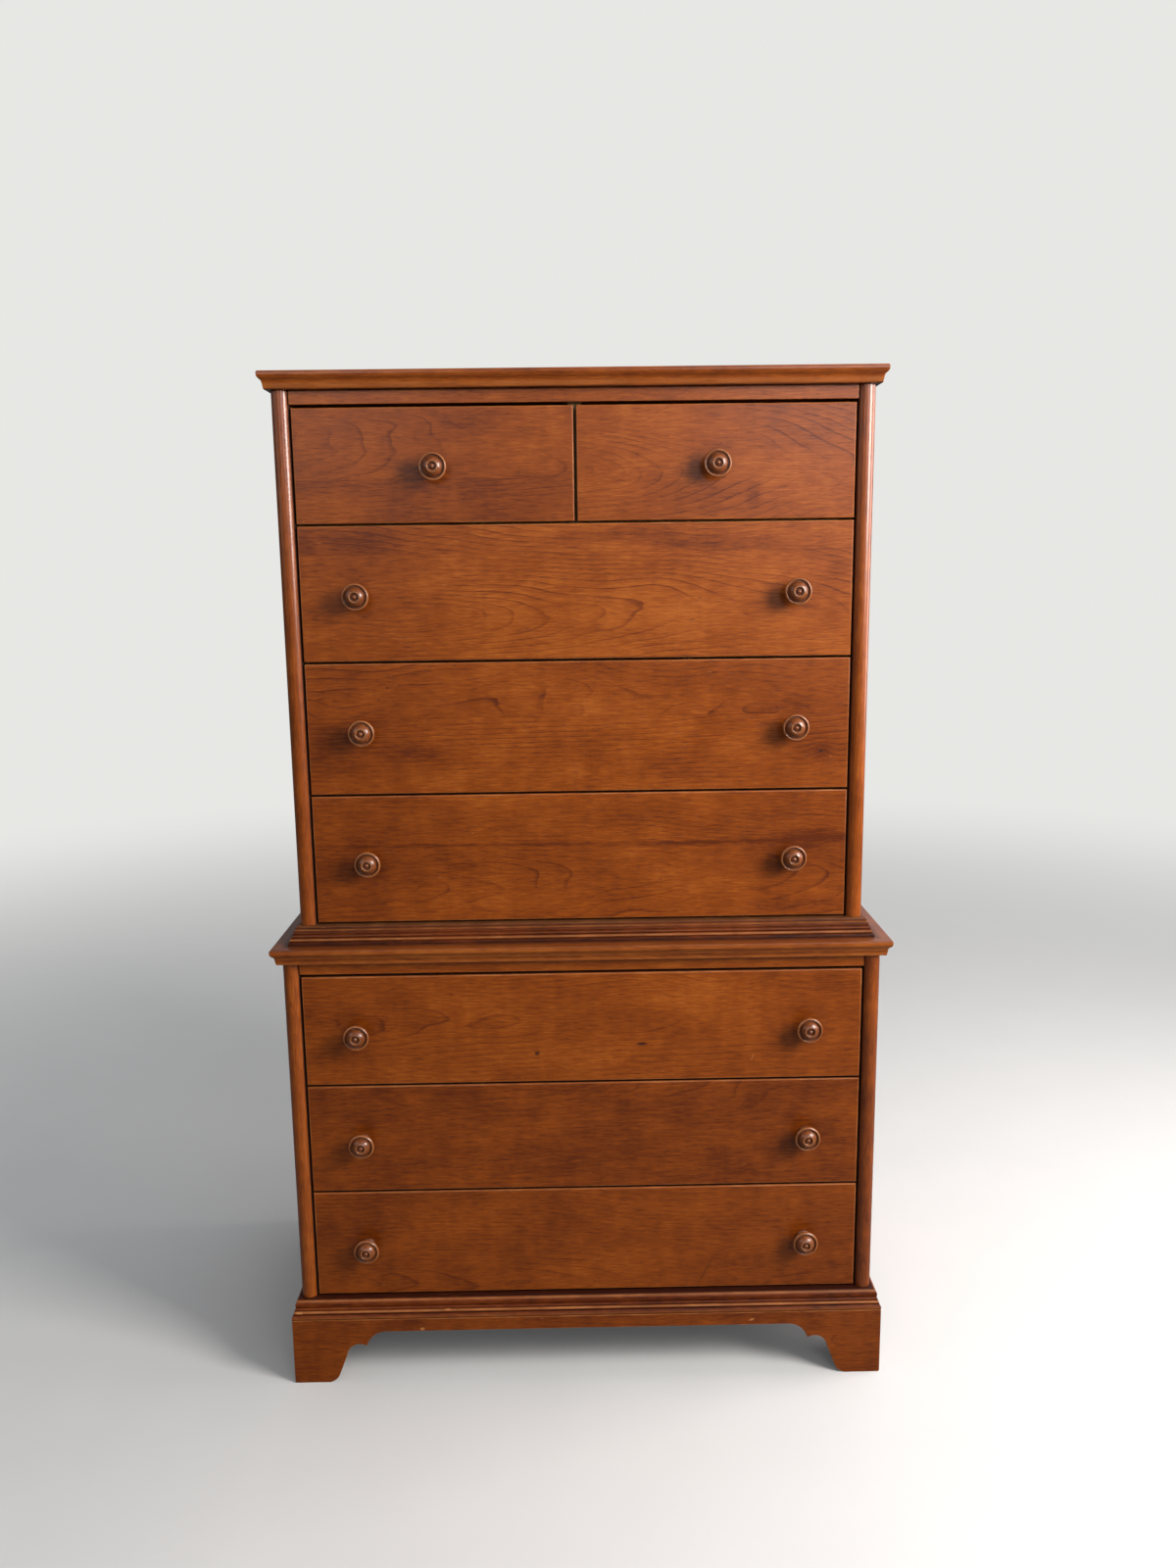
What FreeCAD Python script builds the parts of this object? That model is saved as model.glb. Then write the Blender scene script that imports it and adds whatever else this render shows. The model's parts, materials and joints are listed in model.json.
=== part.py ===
import FreeCAD
import Part
import math
import os
from FreeCAD import Vector

# Chest on chest: a narrower case of drawers stands on a wider one, which stands on a scrolled plinth.
# Millimetres. X runs to the right, Y to the back, Z up. The front faces -Y.
# The origin is on the floor, under the middle of the whole piece, knobs included.

# Cases
UPPER_CASE_WIDTH = 840.0
UPPER_CASE_DEPTH = 445.0
CASE_STEP = 24.3            # the lower case stands out this far at each side and at the front
POST_WIDTH = 25.0           # corner post, also the diameter of its half-round nose
POST_DEPTH = 60.0
PANEL_SETBACK = 6.0         # the side panel's inner face stands back from the post's
BACK_THICKNESS = 6.0
BACK_RABBET = 9.0           # how far the back panel is let into each side panel
TOP_RAIL_HEIGHT = 19.0
TOP_RAIL_DEPTH = 22.0

# Moulded tops: the cornice of the upper case and the ledge of the lower one
TOP_THICKNESS = 24.0
TOP_OVERHANG = 13.5
TOP_EDGE_SETBACK = 7.5      # the foot of the edge stands this far behind its nose
TOP_FILLET_LEAN = 1.5       # the strip under the cove leans out by this much
TOP_FILLET_HEIGHT = 8.0
TOP_COVE_HEIGHT = 5.0
TOP_NOSE_Z = 19.0           # level at which the round nose stands out furthest
TOP_EDGE_ROUND = 2.4        # radius along the upper arris

# Reeded frames under each case
WAIST_REEDS = [5.3, 5.3, 5.3, 5.3, 5.3]     # heights of the reeds from the foot up
WAIST_FOOT_OUT = 15.0       # how far the moulding stands out from the post at its foot
BASE_REEDS = [7.4, 5.0, 5.0, 12.6]
BASE_FOOT_OUT = 12.6
FRAME_TOP_OUT = 2.2
FRAME_WIDTH = 55.0
REED_SWELL = 0.23           # rise of a reed as a share of its width

# Plinth with scrolled brackets
PLINTH_HEIGHT = 107.0
PLINTH_THICKNESS = 20.0
PLINTH_OVERHANG = 13.5
APRON_HEIGHT = 21.5         # straight strip between two brackets
FOOT_WIDTH = 55.0           # of a bracket at the floor
TOE_RUN = 16.0              # round toe of a bracket
TOE_RISE = 14.5
FOOT_LEAN = 28.5            # run of the whole inner edge of a bracket, toe included
KNEE_DROP = 38.5            # drops are measured down from the underside of the apron
SCALLOP_RUN = 17.0
SCALLOP_DROP = 21.0
CUSP_RUN = 14.0
CUSP_DROP = 24.0
COVE_RUN = 31.0
BLOCK_LEG = 34.0            # glue block in each corner of the plinth
BLOCK_FLOOR_GAP = 12.0

# Drawer fronts
SMALL_FRONT_HEIGHT = 157.5
UPPER_FRONT_HEIGHT = 190.6
UPPER_WIDE_ROWS = 3
LOWER_FRONT_HEIGHT = 170.0
LOWER_WIDE_ROWS = 3
FRONT_THICKNESS = 20.0
FRONT_ARRIS = 2.0           # radius along the edges of a front
DRAWER_RECESS = 5.0         # fronts stand this far behind the noses of the posts
DRAWER_GAP = 3.0            # between one front and the next, above the sill too
HEAD_GAP = 4.5              # under the top rail
MEETING_GAP = 4.0           # between the two small fronts
SIDE_GAP = 2.0              # between a front and a post

# Drawer boxes
BOX_WALL = 12.0             # sides and back
BOTTOM_THICKNESS = 5.0
BOTTOM_RISE = 9.0           # from the lower edge of a side up to the bottom panel
GROOVE_DEPTH = 5.0
GROOVE_PLAY = 0.3
TAIL_DEPTH = 13.0           # how far the tails of a side reach into the front
TAIL_PITCH = 42.0
TAIL_SHARE = 0.66           # part of the pitch that a tail takes at its tip
TAIL_SLOPE = 1.0 / 7.0
BOX_BACK_GAP = 10.0         # behind a closed drawer

# Hidden frames that carry the drawers
RAIL_THICKNESS = 16.0
RAIL_WIDTH = 55.0
RUNNER_WIDTH = 36.0
SIDE_LIFT = 7.0             # a side rides this far above the lower edge of its front
SIDE_HEADROOM = 2.0
RUN_CLEARANCE = 0.3         # under a drawer side
GUIDE_HEIGHT = 14.0
GUIDE_CLEARANCE = 0.8
STOP_CLEARANCE = 0.4        # between a closed front and the rail that stops it
DIVIDER_THICKNESS = 19.0
DIVIDER_CLEARANCE = 1.5

# Turned knobs
KNOB_DIAMETER = 39.0
KNOB_PROJECTION = 28.0
KNOB_FOOT_DIAMETER = 23.0
KNOB_NECK_DIAMETER = 15.0
KNOB_INSET = 80.5           # from the end of a wide front to the middle of a knob
KNOB_DROP = 3.3             # below the middle of the front
TENON_DIAMETER = 10.0
TENON_LENGTH = 12.0
PIN_DIAMETER = 8.0          # of the stem, in the head
PIN_LENGTH = 8.0
TENON_PLAY = 0.1

# Lines that follow from the sizes above
LOWER_CASE_WIDTH = UPPER_CASE_WIDTH + 2 * CASE_STEP
LOWER_CASE_DEPTH = UPPER_CASE_DEPTH + CASE_STEP
FRONT_REACH = max(KNOB_PROJECTION - DRAWER_RECESS, TOP_OVERHANG, PLINTH_OVERHANG)
BACK_Y = (LOWER_CASE_DEPTH + FRONT_REACH) / 2
SIDE_DROP = RAIL_THICKNESS + RUN_CLEARANCE - SIDE_LIFT - DRAWER_GAP + SIDE_HEADROOM
WAIST_FRAME_HEIGHT = sum(WAIST_REEDS)
LOWER_SILL_Z = PLINTH_HEIGHT + sum(BASE_REEDS)
REACH = 40.0                # cutting tools run this far past what they cut


class Case:
    """One case: its half width, the noses of its posts, and the levels of its rows from the top down."""

    def __init__(self, name, width, depth, sill_z, front_heights):
        self.name = name
        self.half = width / 2
        self.depth = depth
        self.nose_y = BACK_Y - depth
        self.face_y = self.nose_y + DRAWER_RECESS
        self.opening = self.half - POST_WIDTH
        self.panel_inner = self.opening + PANEL_SETBACK
        self.sill_z = sill_z
        self.rows = []
        level = sill_z
        for height in reversed(front_heights):
            low = level + DRAWER_GAP
            level = low + height
            self.rows.insert(0, (low, level))
        self.rail_z = level + HEAD_GAP
        self.top_z = self.rail_z + TOP_RAIL_HEIGHT

    def runner_top(self, row):
        """Level of the surface that the drawers of a row ride on."""
        return self.rows[row][0] + SIDE_LIFT - RUN_CLEARANCE


LOWER = Case("lower", LOWER_CASE_WIDTH, LOWER_CASE_DEPTH, LOWER_SILL_Z,
             [LOWER_FRONT_HEIGHT] * LOWER_WIDE_ROWS)
LEDGE_TOP_Z = LOWER.top_z + TOP_THICKNESS
UPPER = Case("upper", UPPER_CASE_WIDTH, UPPER_CASE_DEPTH, LEDGE_TOP_Z + WAIST_FRAME_HEIGHT,
             [SMALL_FRONT_HEIGHT] + [UPPER_FRONT_HEIGHT] * UPPER_WIDE_ROWS)


def box(x0, x1, y0, y1, z0, z1):
    """A block between two corners."""
    return Part.makeBox(x1 - x0, y1 - y0, z1 - z0, Vector(x0, y0, z0))


def outline(place, start, steps):
    """A closed face: each step is a point for a line, or a pair (point on the way, end) for an arc."""
    edges = []
    here = start
    for step in steps + [start]:
        if isinstance(step[0], tuple):
            via, there = step
            edges.append(Part.Arc(place(*here), place(*via), place(*there)).toShape())
        else:
            there = step
            edges.append(Part.makeLine(place(*here), place(*there)))
        here = there
    return Part.Face(Part.Wire(edges))


def front_place(case):
    """Profile plane across the front edge: u runs out of the front from the noses of the posts."""
    return lambda u, z: Vector(0, case.nose_y - u, z)


def side_place(case, hand):
    """Profile plane across a side edge: u runs out of the side (hand is -1 left, 1 right)."""
    return lambda u, z: Vector(hand * (case.half + u), 0, z)


def along_x(face, half_length):
    """Draw a profile out to both sides of the middle."""
    solid = face.extrude(Vector(2 * half_length, 0, 0))
    solid.translate(Vector(-half_length, 0, 0))
    return solid


def along_y(face, y0, y1):
    """Draw a profile from y0 to y1."""
    solid = face.extrude(Vector(0, y1 - y0, 0))
    solid.translate(Vector(0, y0, 0))
    return solid


def plan(points, z0, z1):
    """An upright block with the given outline in plan."""
    corners = [Vector(x, y, z0) for x, y in points]
    return Part.Face(Part.makePolygon(corners + corners[:1])).extrude(Vector(0, 0, z1 - z0))


def mitre_blocks(case, z0, z1):
    """Three blocks in plan that share the front and the two sides of a case along 45 degree mitres."""
    out = case.half + REACH
    tip = case.nose_y - REACH
    inside = case.half - FRAME_WIDTH
    turn = case.nose_y + FRAME_WIDTH
    front = plan([(-out, tip), (out, tip), (inside, turn), (-inside, turn)], z0, z1)
    left = plan([(-out, tip), (-inside, turn), (-inside, BACK_Y), (-out, BACK_Y)], z0, z1)
    right = plan([(out, tip), (inside, turn), (inside, BACK_Y), (out, BACK_Y)], z0, z1)
    return front, left, right


def top_edge(z0, inner):
    """Profile of a moulded top: leaning fillet, cove, round nose."""
    foot = TOP_OVERHANG - TOP_EDGE_SETBACK
    fillet_top = (foot + TOP_FILLET_LEAN, z0 + TOP_FILLET_HEIGHT)
    under_nose = TOP_OVERHANG - fillet_top[0]
    turn = (fillet_top[0] + 0.42 * under_nose, fillet_top[1] + TOP_COVE_HEIGHT)
    cove_via = (fillet_top[0] + 0.12 * under_nose, fillet_top[1] + 0.56 * TOP_COVE_HEIGHT)
    nose = (TOP_OVERHANG, z0 + TOP_NOSE_Z)
    nose_via = (turn[0] + 0.68 * (nose[0] - turn[0]), turn[1] + 0.42 * (nose[1] - turn[1]))
    top = z0 + TOP_THICKNESS
    round_in = TOP_OVERHANG - TOP_EDGE_ROUND
    diagonal = TOP_EDGE_ROUND * math.sqrt(0.5)
    round_via = (round_in + diagonal, top - TOP_EDGE_ROUND + diagonal)
    steps = [(foot, z0), fillet_top, (cove_via, turn), (nose_via, nose), (TOP_OVERHANG, top - TOP_EDGE_ROUND),
             (round_via, (round_in, top)), (inner, top)]
    return (inner, z0), steps


def moulded_top(case):
    """The board over a case, moulded along its front and sides and flush at the back."""
    across = 2 * (case.half + TOP_OVERHANG)
    front = along_x(outline(front_place(case), *top_edge(case.top_z, -case.depth)), across)
    board = front
    for hand in (-1, 1):
        face = outline(side_place(case, hand), *top_edge(case.top_z, -across))
        board = board.common(along_y(face, case.nose_y - REACH, BACK_Y))
    return board


def reeded_edge(z0, reeds, foot_out):
    """Profile of a frame: reeds that step outwards from the top to the foot."""
    slope = (FRAME_TOP_OUT - foot_out) / sum(reeds)
    low = (foot_out, z0)
    steps = [low]
    for rise in reeds:
        run = rise * slope
        high = (low[0] + run, low[1] + rise)
        via = ((low[0] + high[0]) / 2 + REED_SWELL * rise, (low[1] + high[1]) / 2 - REED_SWELL * run)
        steps.append((via, high))
        low = high
    steps.append((-FRAME_WIDTH, low[1]))
    return (-FRAME_WIDTH, z0), steps


def reeded_frame(case, reeds, foot_out):
    """The mitred frame under a case: reeded front and sides, and a plain back rail."""
    z0 = case.sill_z - sum(reeds)
    profile = reeded_edge(z0, reeds, foot_out)
    front_block, left_block, right_block = mitre_blocks(case, z0, case.sill_z)
    front = along_x(outline(front_place(case), *profile), case.half + REACH).common(front_block)
    members = [front]
    for hand, block in ((-1, left_block), (1, right_block)):
        side = along_y(outline(side_place(case, hand), *profile), case.nose_y - REACH, BACK_Y)
        members.append(side.common(block))
    inside = case.half - FRAME_WIDTH
    members.append(box(-inside, inside, BACK_Y - FRAME_WIDTH, BACK_Y, z0, case.sill_z))
    return members


def post(case, hand):
    """A corner post with a half-round nose."""
    radius = POST_WIDTH / 2
    middle = hand * (case.half - radius)
    spring_y = case.nose_y + radius
    tail_y = case.nose_y + POST_DEPTH
    face = outline(lambda x, y: Vector(middle + x, y, case.sill_z), (-radius, tail_y),
                   [(-radius, spring_y), ((0, case.nose_y), (radius, spring_y)), (radius, tail_y)])
    return face.extrude(Vector(0, 0, case.top_z - case.sill_z))


def side_panel(case, hand):
    """A side of the case, behind its post, with a rabbet for the back panel."""
    outer = hand * case.half
    inner = hand * case.panel_inner
    rabbet = hand * (case.panel_inner + BACK_RABBET)
    tail_y = case.nose_y + POST_DEPTH
    step_y = BACK_Y - BACK_THICKNESS
    points = [(outer, tail_y), (outer, BACK_Y), (rabbet, BACK_Y), (rabbet, step_y),
              (inner, step_y), (inner, tail_y)]
    return plan(points, case.sill_z, case.top_z)


def back_panel(case):
    """The thin back, let into both sides."""
    half = case.panel_inner + BACK_RABBET
    return box(-half, half, BACK_Y - BACK_THICKNESS, BACK_Y, case.sill_z, case.top_z)


def top_rail(case):
    """The rail that shows above the drawers."""
    back = case.face_y + TOP_RAIL_DEPTH
    return box(-case.opening, case.opening, case.face_y, back, case.rail_z, case.top_z)


def rail_span(case):
    """Front and back of a hidden front rail, which stops the drawers of its row."""
    front = case.face_y + FRONT_THICKNESS + STOP_CLEARANCE
    return front, front + RAIL_WIDTH


def drawer_rails(case):
    """Hidden front and back rails between the rows."""
    front, back = rail_span(case)
    wall = BACK_Y - BACK_THICKNESS
    inside = case.panel_inner - RUNNER_WIDTH
    rails = []
    for row in range(len(case.rows) - 1):
        top = case.runner_top(row)
        rails.append(box(-case.opening, case.opening, front, back, top - RAIL_THICKNESS, top))
        rails.append(box(-inside, inside, wall - RAIL_WIDTH, wall, top - RAIL_THICKNESS, top))
    return rails


def drawer_runners(case):
    """Runners along both sides of each row, each with a guide strip against the side panel."""
    rail_back = rail_span(case)[1]
    wall = BACK_Y - BACK_THICKNESS
    guide_front = case.nose_y + POST_DEPTH
    drawer_half = case.opening - SIDE_GAP
    strips = []
    for row in range(len(case.rows)):
        top = case.runner_top(row)
        lowest = row == len(case.rows) - 1
        low = case.sill_z if lowest else top - RAIL_THICKNESS
        start = guide_front if lowest else rail_back
        for hand in (-1, 1):
            inner, outer = sorted((hand * (case.panel_inner - RUNNER_WIDTH), hand * case.panel_inner))
            strips.append(box(inner, outer, start, wall, low, top))
            inner, outer = sorted((hand * (drawer_half + GUIDE_CLEARANCE), hand * case.panel_inner))
            strips.append(box(inner, outer, max(guide_front, start), wall, top, top + GUIDE_HEIGHT))
    return strips


def centre_divider(case):
    """The upright between the small drawers, notched under the top rail, and the runner below it."""
    front, back = rail_span(case)
    wall = BACK_Y - BACK_THICKNESS
    top = case.runner_top(0)
    half = DIVIDER_THICKNESS / 2
    wide = half + RUNNER_WIDTH
    upright = box(-half, half, front, wall, top, case.top_z).cut(top_rail(case))
    runner = box(-wide, wide, back, wall - RAIL_WIDTH, top - RAIL_THICKNESS, top)
    return [upright, runner]


def bracket_steps(length):
    """The scrolled opening between two brackets of a plinth board, from its first end to its last."""
    apron = PLINTH_HEIGHT - APRON_HEIGHT
    toe = (FOOT_WIDTH + TOE_RUN, TOE_RISE)
    toe_via = (FOOT_WIDTH + 0.58 * TOE_RUN, 0.3 * TOE_RISE)
    knee = (FOOT_WIDTH + FOOT_LEAN, apron - KNEE_DROP)
    scallop = (knee[0] + SCALLOP_RUN, apron - SCALLOP_DROP)
    cusp = (scallop[0] + CUSP_RUN, apron - CUSP_DROP)
    cove = (cusp[0] + COVE_RUN, apron)
    knee_via = (knee[0] + 0.36 * SCALLOP_RUN, knee[1] + 0.68 * (scallop[1] - knee[1]))
    scallop_via = (scallop[0] + 0.5 * CUSP_RUN, scallop[1] - 0.12 * (scallop[1] - cusp[1]))
    cove_way, _ = crown((COVE_RUN, cusp[1]), apron)
    cove_via = (cove[0] - cove_way[0], cove_way[1])

    def far(point):
        return (length - point[0], point[1])

    start = (FOOT_WIDTH, -REACH)
    steps = [(FOOT_WIDTH, 0.0), (toe_via, toe), knee, (knee_via, scallop), (scallop_via, cusp),
             (cove_via, cove), far(cove), (far(cove_via), far(cusp)), (far(scallop_via), far(scallop)),
             (far(knee_via), far(knee)), far(toe), (far(toe_via), (length - FOOT_WIDTH, 0.0)),
             (length - FOOT_WIDTH, -REACH)]
    return start, steps


def plinth_boards(case):
    """Front, left and right boards of the plinth, mitred at the front corners, and the plain back board."""
    out = case.half + PLINTH_OVERHANG
    tip = case.nose_y - PLINTH_OVERHANG
    inside = out - PLINTH_THICKNESS
    turn = tip + PLINTH_THICKNESS
    front = plan([(-out, tip), (out, tip), (inside, turn), (-inside, turn)], 0, PLINTH_HEIGHT)
    front_cut = outline(lambda s, z: Vector(s - out, tip - REACH, z), *bracket_steps(2 * out))
    boards = {"plinth_front": front.cut(front_cut.extrude(Vector(0, PLINTH_THICKNESS + 2 * REACH, 0)))}
    side_cut = outline(lambda s, z: Vector(-out - REACH, tip + s, z), *bracket_steps(BACK_Y - tip))
    side_cut = side_cut.extrude(Vector(2 * (out + REACH), 0, 0))
    for hand, name in ((-1, "plinth_left"), (1, "plinth_right")):
        corners = [(hand * out, tip), (hand * out, BACK_Y), (hand * inside, BACK_Y), (hand * inside, turn)]
        boards[name] = plan(corners, 0, PLINTH_HEIGHT).cut(side_cut)
    back = box(-inside, inside, BACK_Y - PLINTH_THICKNESS, BACK_Y, 0, PLINTH_HEIGHT)
    foot = inside - FOOT_WIDTH
    apron = PLINTH_HEIGHT - APRON_HEIGHT
    knee = foot - FOOT_LEAN
    cut = outline(lambda x, z: Vector(x, BACK_Y - PLINTH_THICKNESS - REACH, z), (-foot, -REACH),
                  [(-foot, 0.0), (-knee, apron), (knee, apron), (foot, 0.0), (foot, -REACH)])
    boards["plinth_back"] = back.cut(cut.extrude(Vector(0, PLINTH_THICKNESS + 2 * REACH, 0)))
    return boards


def corner_blocks(case):
    """Triangular glue blocks in the four corners of the plinth."""
    x = case.half + PLINTH_OVERHANG - PLINTH_THICKNESS
    ends = ((case.nose_y - PLINTH_OVERHANG + PLINTH_THICKNESS, 1), (BACK_Y - PLINTH_THICKNESS, -1))
    blocks = []
    for y, inward in ends:
        for hand in (-1, 1):
            corner = (hand * x, y)
            along = (hand * (x - BLOCK_LEG), y)
            back = (hand * x, y + inward * BLOCK_LEG)
            blocks.append(plan([corner, along, back], BLOCK_FLOOR_GAP, PLINTH_HEIGHT))
    return blocks


class Drawer:
    """Where one drawer sits: its front between x0 and x1, and how far its sides stand in from the ends."""

    def __init__(self, case, row, x0, x1, inset_left, inset_right, knobs):
        self.x0 = x0
        self.x1 = x1
        self.z0, self.z1 = case.rows[row]
        self.face_y = case.face_y
        self.shoulder_y = case.face_y + FRONT_THICKNESS
        self.end_y = BACK_Y - BACK_THICKNESS - BOX_BACK_GAP
        self.left = x0 + inset_left
        self.right = x1 - inset_right
        self.side_z0 = self.z0 + SIDE_LIFT
        self.side_z1 = self.z1 - SIDE_DROP
        self.floor_z = self.side_z0 + BOTTOM_RISE + BOTTOM_THICKNESS
        self.knobs = [(x, (self.z0 + self.z1) / 2 - KNOB_DROP) for x in knobs]


def tails(shoulder, tip, z0, z1):
    """Points of a row of dovetails up an edge, wider at the tip than at the shoulder."""
    count = max(2, round((z1 - z0) / TAIL_PITCH))
    pitch = (z1 - z0) / count
    tip_half = pitch * TAIL_SHARE / 2
    root_half = tip_half - abs(tip - shoulder) * TAIL_SLOPE
    points = []
    for tail in range(count):
        middle = z0 + pitch * (tail + 0.5)
        points += [(shoulder, middle - root_half), (tip, middle - tip_half),
                   (tip, middle + tip_half), (shoulder, middle + root_half)]
    return points


def drawer_side(drawer, x):
    """One side: tails into the front, tails through the back, drawn BOX_WALL thick from x."""
    back_shoulder = drawer.end_y - BOX_WALL
    front_tails = tails(drawer.shoulder_y, drawer.shoulder_y - TAIL_DEPTH, drawer.side_z0, drawer.side_z1)
    back_tails = tails(back_shoulder, drawer.end_y, drawer.floor_z, drawer.side_z1)
    points = [(drawer.shoulder_y, drawer.side_z0)] + front_tails
    points += [(drawer.shoulder_y, drawer.side_z1), (back_shoulder, drawer.side_z1)] + back_tails[::-1]
    points += [(back_shoulder, drawer.floor_z), (drawer.end_y, drawer.floor_z),
               (drawer.end_y, drawer.side_z0)]
    corners = [Vector(x, y, z) for y, z in points]
    return Part.Face(Part.makePolygon(corners + corners[:1])).extrude(Vector(BOX_WALL, 0, 0))


def drawer_front(drawer, sides, groove):
    """The front: eased edges, lips past the sides, sockets for their tails, holes for the knobs."""
    front = box(drawer.x0, drawer.x1, drawer.face_y, drawer.shoulder_y, drawer.z0, drawer.z1)
    edges = [edge for edge in front.Edges if abs(edge.BoundBox.YMax - drawer.face_y) < 1e-6]
    front = front.makeFillet(FRONT_ARRIS, edges)
    lip_y = drawer.shoulder_y - TAIL_DEPTH
    for low, high in ((drawer.x0 - REACH, drawer.left), (drawer.right, drawer.x1 + REACH)):
        past_end = box(low, high, lip_y, drawer.shoulder_y + REACH, drawer.z0 - REACH, drawer.z1 + REACH)
        front = front.cut(past_end)
    for x, z in drawer.knobs:
        hole = Part.makeCylinder(TENON_DIAMETER / 2 + TENON_PLAY, TENON_LENGTH + TENON_PLAY + REACH,
                                 Vector(x, drawer.face_y - REACH, z), Vector(0, 1, 0))
        front = front.cut(hole)
    return front.cut(sides[0]).cut(sides[1]).cut(groove)


def drawer_pieces(name, drawer):
    """All pieces of one drawer by node name."""
    left = drawer_side(drawer, drawer.left)
    right = drawer_side(drawer, drawer.right - BOX_WALL)
    inner_left = drawer.left + BOX_WALL
    inner_right = drawer.right - BOX_WALL
    panel = (inner_left - GROOVE_DEPTH, inner_right + GROOVE_DEPTH, drawer.shoulder_y - GROOVE_DEPTH,
             drawer.end_y, drawer.floor_z - BOTTOM_THICKNESS, drawer.floor_z)
    groove = box(panel[0] - GROOVE_PLAY, panel[1] + GROOVE_PLAY, panel[2] - GROOVE_PLAY,
                 panel[3] + REACH, panel[4], panel[5] + GROOVE_PLAY)
    back_y = drawer.end_y - BOX_WALL
    back = box(drawer.left, drawer.right, back_y, drawer.end_y, drawer.floor_z, drawer.side_z1)
    front = drawer_front(drawer, (left, right), groove)
    back = back.cut(left).cut(right)
    return {
        name + "_front": [front],
        name + "_box": [left.cut(groove), right.cut(groove), back],
        name + "_bottom": [box(*panel)],
        name + "_knobs": [piece for x, z in drawer.knobs for piece in knob(drawer, x, z)],
    }


def crown(edge, top):
    """Way and end of a round cap from an edge to its top, which lies on the axis."""
    rise = top - edge[1]
    radius = (edge[0] ** 2 + rise ** 2) / (2 * rise)
    half = edge[0] / 2
    return (half, top - radius + math.sqrt(radius ** 2 - half ** 2)), (0.0, top)


def turned(start, steps):
    """Turn a profile of radius and height about an axis that runs out to the front."""
    profile = outline(lambda radius, height: Vector(radius, -height, 0), start, steps)
    return profile.revolve(Vector(0, 0, 0), Vector(0, 1, 0), 360)


def knob(drawer, x, z):
    """A turned knob: a stem with a tenon for the front and a pin for the head, and the head on it."""
    rim = KNOB_DIAMETER / 2
    foot = KNOB_FOOT_DIAMETER / 2
    neck = KNOB_NECK_DIAMETER / 2
    tenon = TENON_DIAMETER / 2
    pin = PIN_DIAMETER / 2
    seat = 0.32 * KNOB_PROJECTION
    pin_end = seat + PIN_LENGTH

    def at(share, height):
        return (share * rim, height * KNOB_PROJECTION)

    stem = turned((0.0, -TENON_LENGTH),
                  [(tenon, -TENON_LENGTH), (tenon, 0.0), (foot, 0.0), (foot, 0.06 * KNOB_PROJECTION),
                   ((neck + 0.25 * (foot - neck), 0.16 * KNOB_PROJECTION), (neck, seat)),
                   (pin, seat), (pin, pin_end), (0.0, pin_end)])
    hole = pin + TENON_PLAY
    hole_end = pin_end + TENON_PLAY
    button = at(0.175, 0.885)
    head = turned((0.0, hole_end),
                  [(hole, hole_end), (hole, seat), (neck, seat),
                   ((neck + 0.33 * (0.88 * rim - neck), 0.46 * KNOB_PROJECTION), at(0.88, 0.55)),
                   (at(1.0, 0.66), at(0.925, 0.765)), (at(0.885, 0.77), at(0.845, 0.735)),
                   (at(0.775, 0.67), at(0.70, 0.73)), (at(0.56, 0.90), at(0.40, 0.972)),
                   (at(0.355, 0.98), at(0.315, 0.94)), (at(0.255, 0.86), button),
                   crown(button, KNOB_PROJECTION)])
    for piece in (stem, head):
        piece.translate(Vector(x, drawer.face_y, z))
    return [stem, head]


def all_drawers():
    """Every drawer by name, from the top of the chest down."""
    reach = UPPER.opening - SIDE_GAP
    inner = MEETING_GAP / 2
    inset = DIVIDER_THICKNESS / 2 + DIVIDER_CLEARANCE - inner
    middle = (reach + inner) / 2
    drawers = {"top_left_drawer": Drawer(UPPER, 0, -reach, -inner, 0, inset, [-middle]),
               "top_right_drawer": Drawer(UPPER, 0, inner, reach, inset, 0, [middle])}
    for case, first_row in ((UPPER, 1), (LOWER, 0)):
        reach = case.opening - SIDE_GAP
        pair = [KNOB_INSET - reach, reach - KNOB_INSET]
        for row in range(first_row, len(case.rows)):
            name = "%s_drawer_%d" % (case.name, row - first_row + 1)
            drawers[name] = Drawer(case, row, -reach, reach, 0, 0, pair)
    return drawers


def case_pieces(case):
    """The carcase of one case by node name."""
    pieces = {
        case.name + "_top": [moulded_top(case)],
        case.name + "_top_rail": [top_rail(case)],
        case.name + "_back_panel": [back_panel(case)],
        case.name + "_drawer_rails": drawer_rails(case),
        case.name + "_drawer_runners": drawer_runners(case),
    }
    for hand, side in ((-1, "left"), (1, "right")):
        pieces["%s_%s_post" % (case.name, side)] = [post(case, hand)]
        pieces["%s_%s_side" % (case.name, side)] = [side_panel(case, hand)]
    return pieces


def main():
    """Build every node and write it to its own file."""
    nodes = case_pieces(UPPER)
    nodes.update(case_pieces(LOWER))
    nodes["upper_centre_divider"] = centre_divider(UPPER)
    nodes["waist_moulding"] = reeded_frame(UPPER, WAIST_REEDS, WAIST_FOOT_OUT)
    nodes["base_moulding"] = reeded_frame(LOWER, BASE_REEDS, BASE_FOOT_OUT)
    nodes.update({name: [board] for name, board in plinth_boards(LOWER).items()})
    nodes["plinth_corner_blocks"] = corner_blocks(LOWER)
    for name, drawer in all_drawers().items():
        nodes.update(drawer_pieces(name, drawer))
    os.makedirs("parts", exist_ok=True)
    for name, solids in nodes.items():
        shape = solids[0] if len(solids) == 1 else Part.makeCompound(solids)
        shape.exportStep("parts/%s.step" % name)
        print(name, len(shape.Solids), round(shape.Volume), shape.isValid())


main()
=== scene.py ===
"""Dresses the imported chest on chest: stained wood, turned knobs, worn edges, studio light and camera."""

import json
import logging
import math
from collections.abc import Callable, Mapping, Sequence
from dataclasses import dataclass, replace
from enum import Enum
from typing import Any

import bmesh
import bpy
from mathutils import Matrix, Vector

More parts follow.
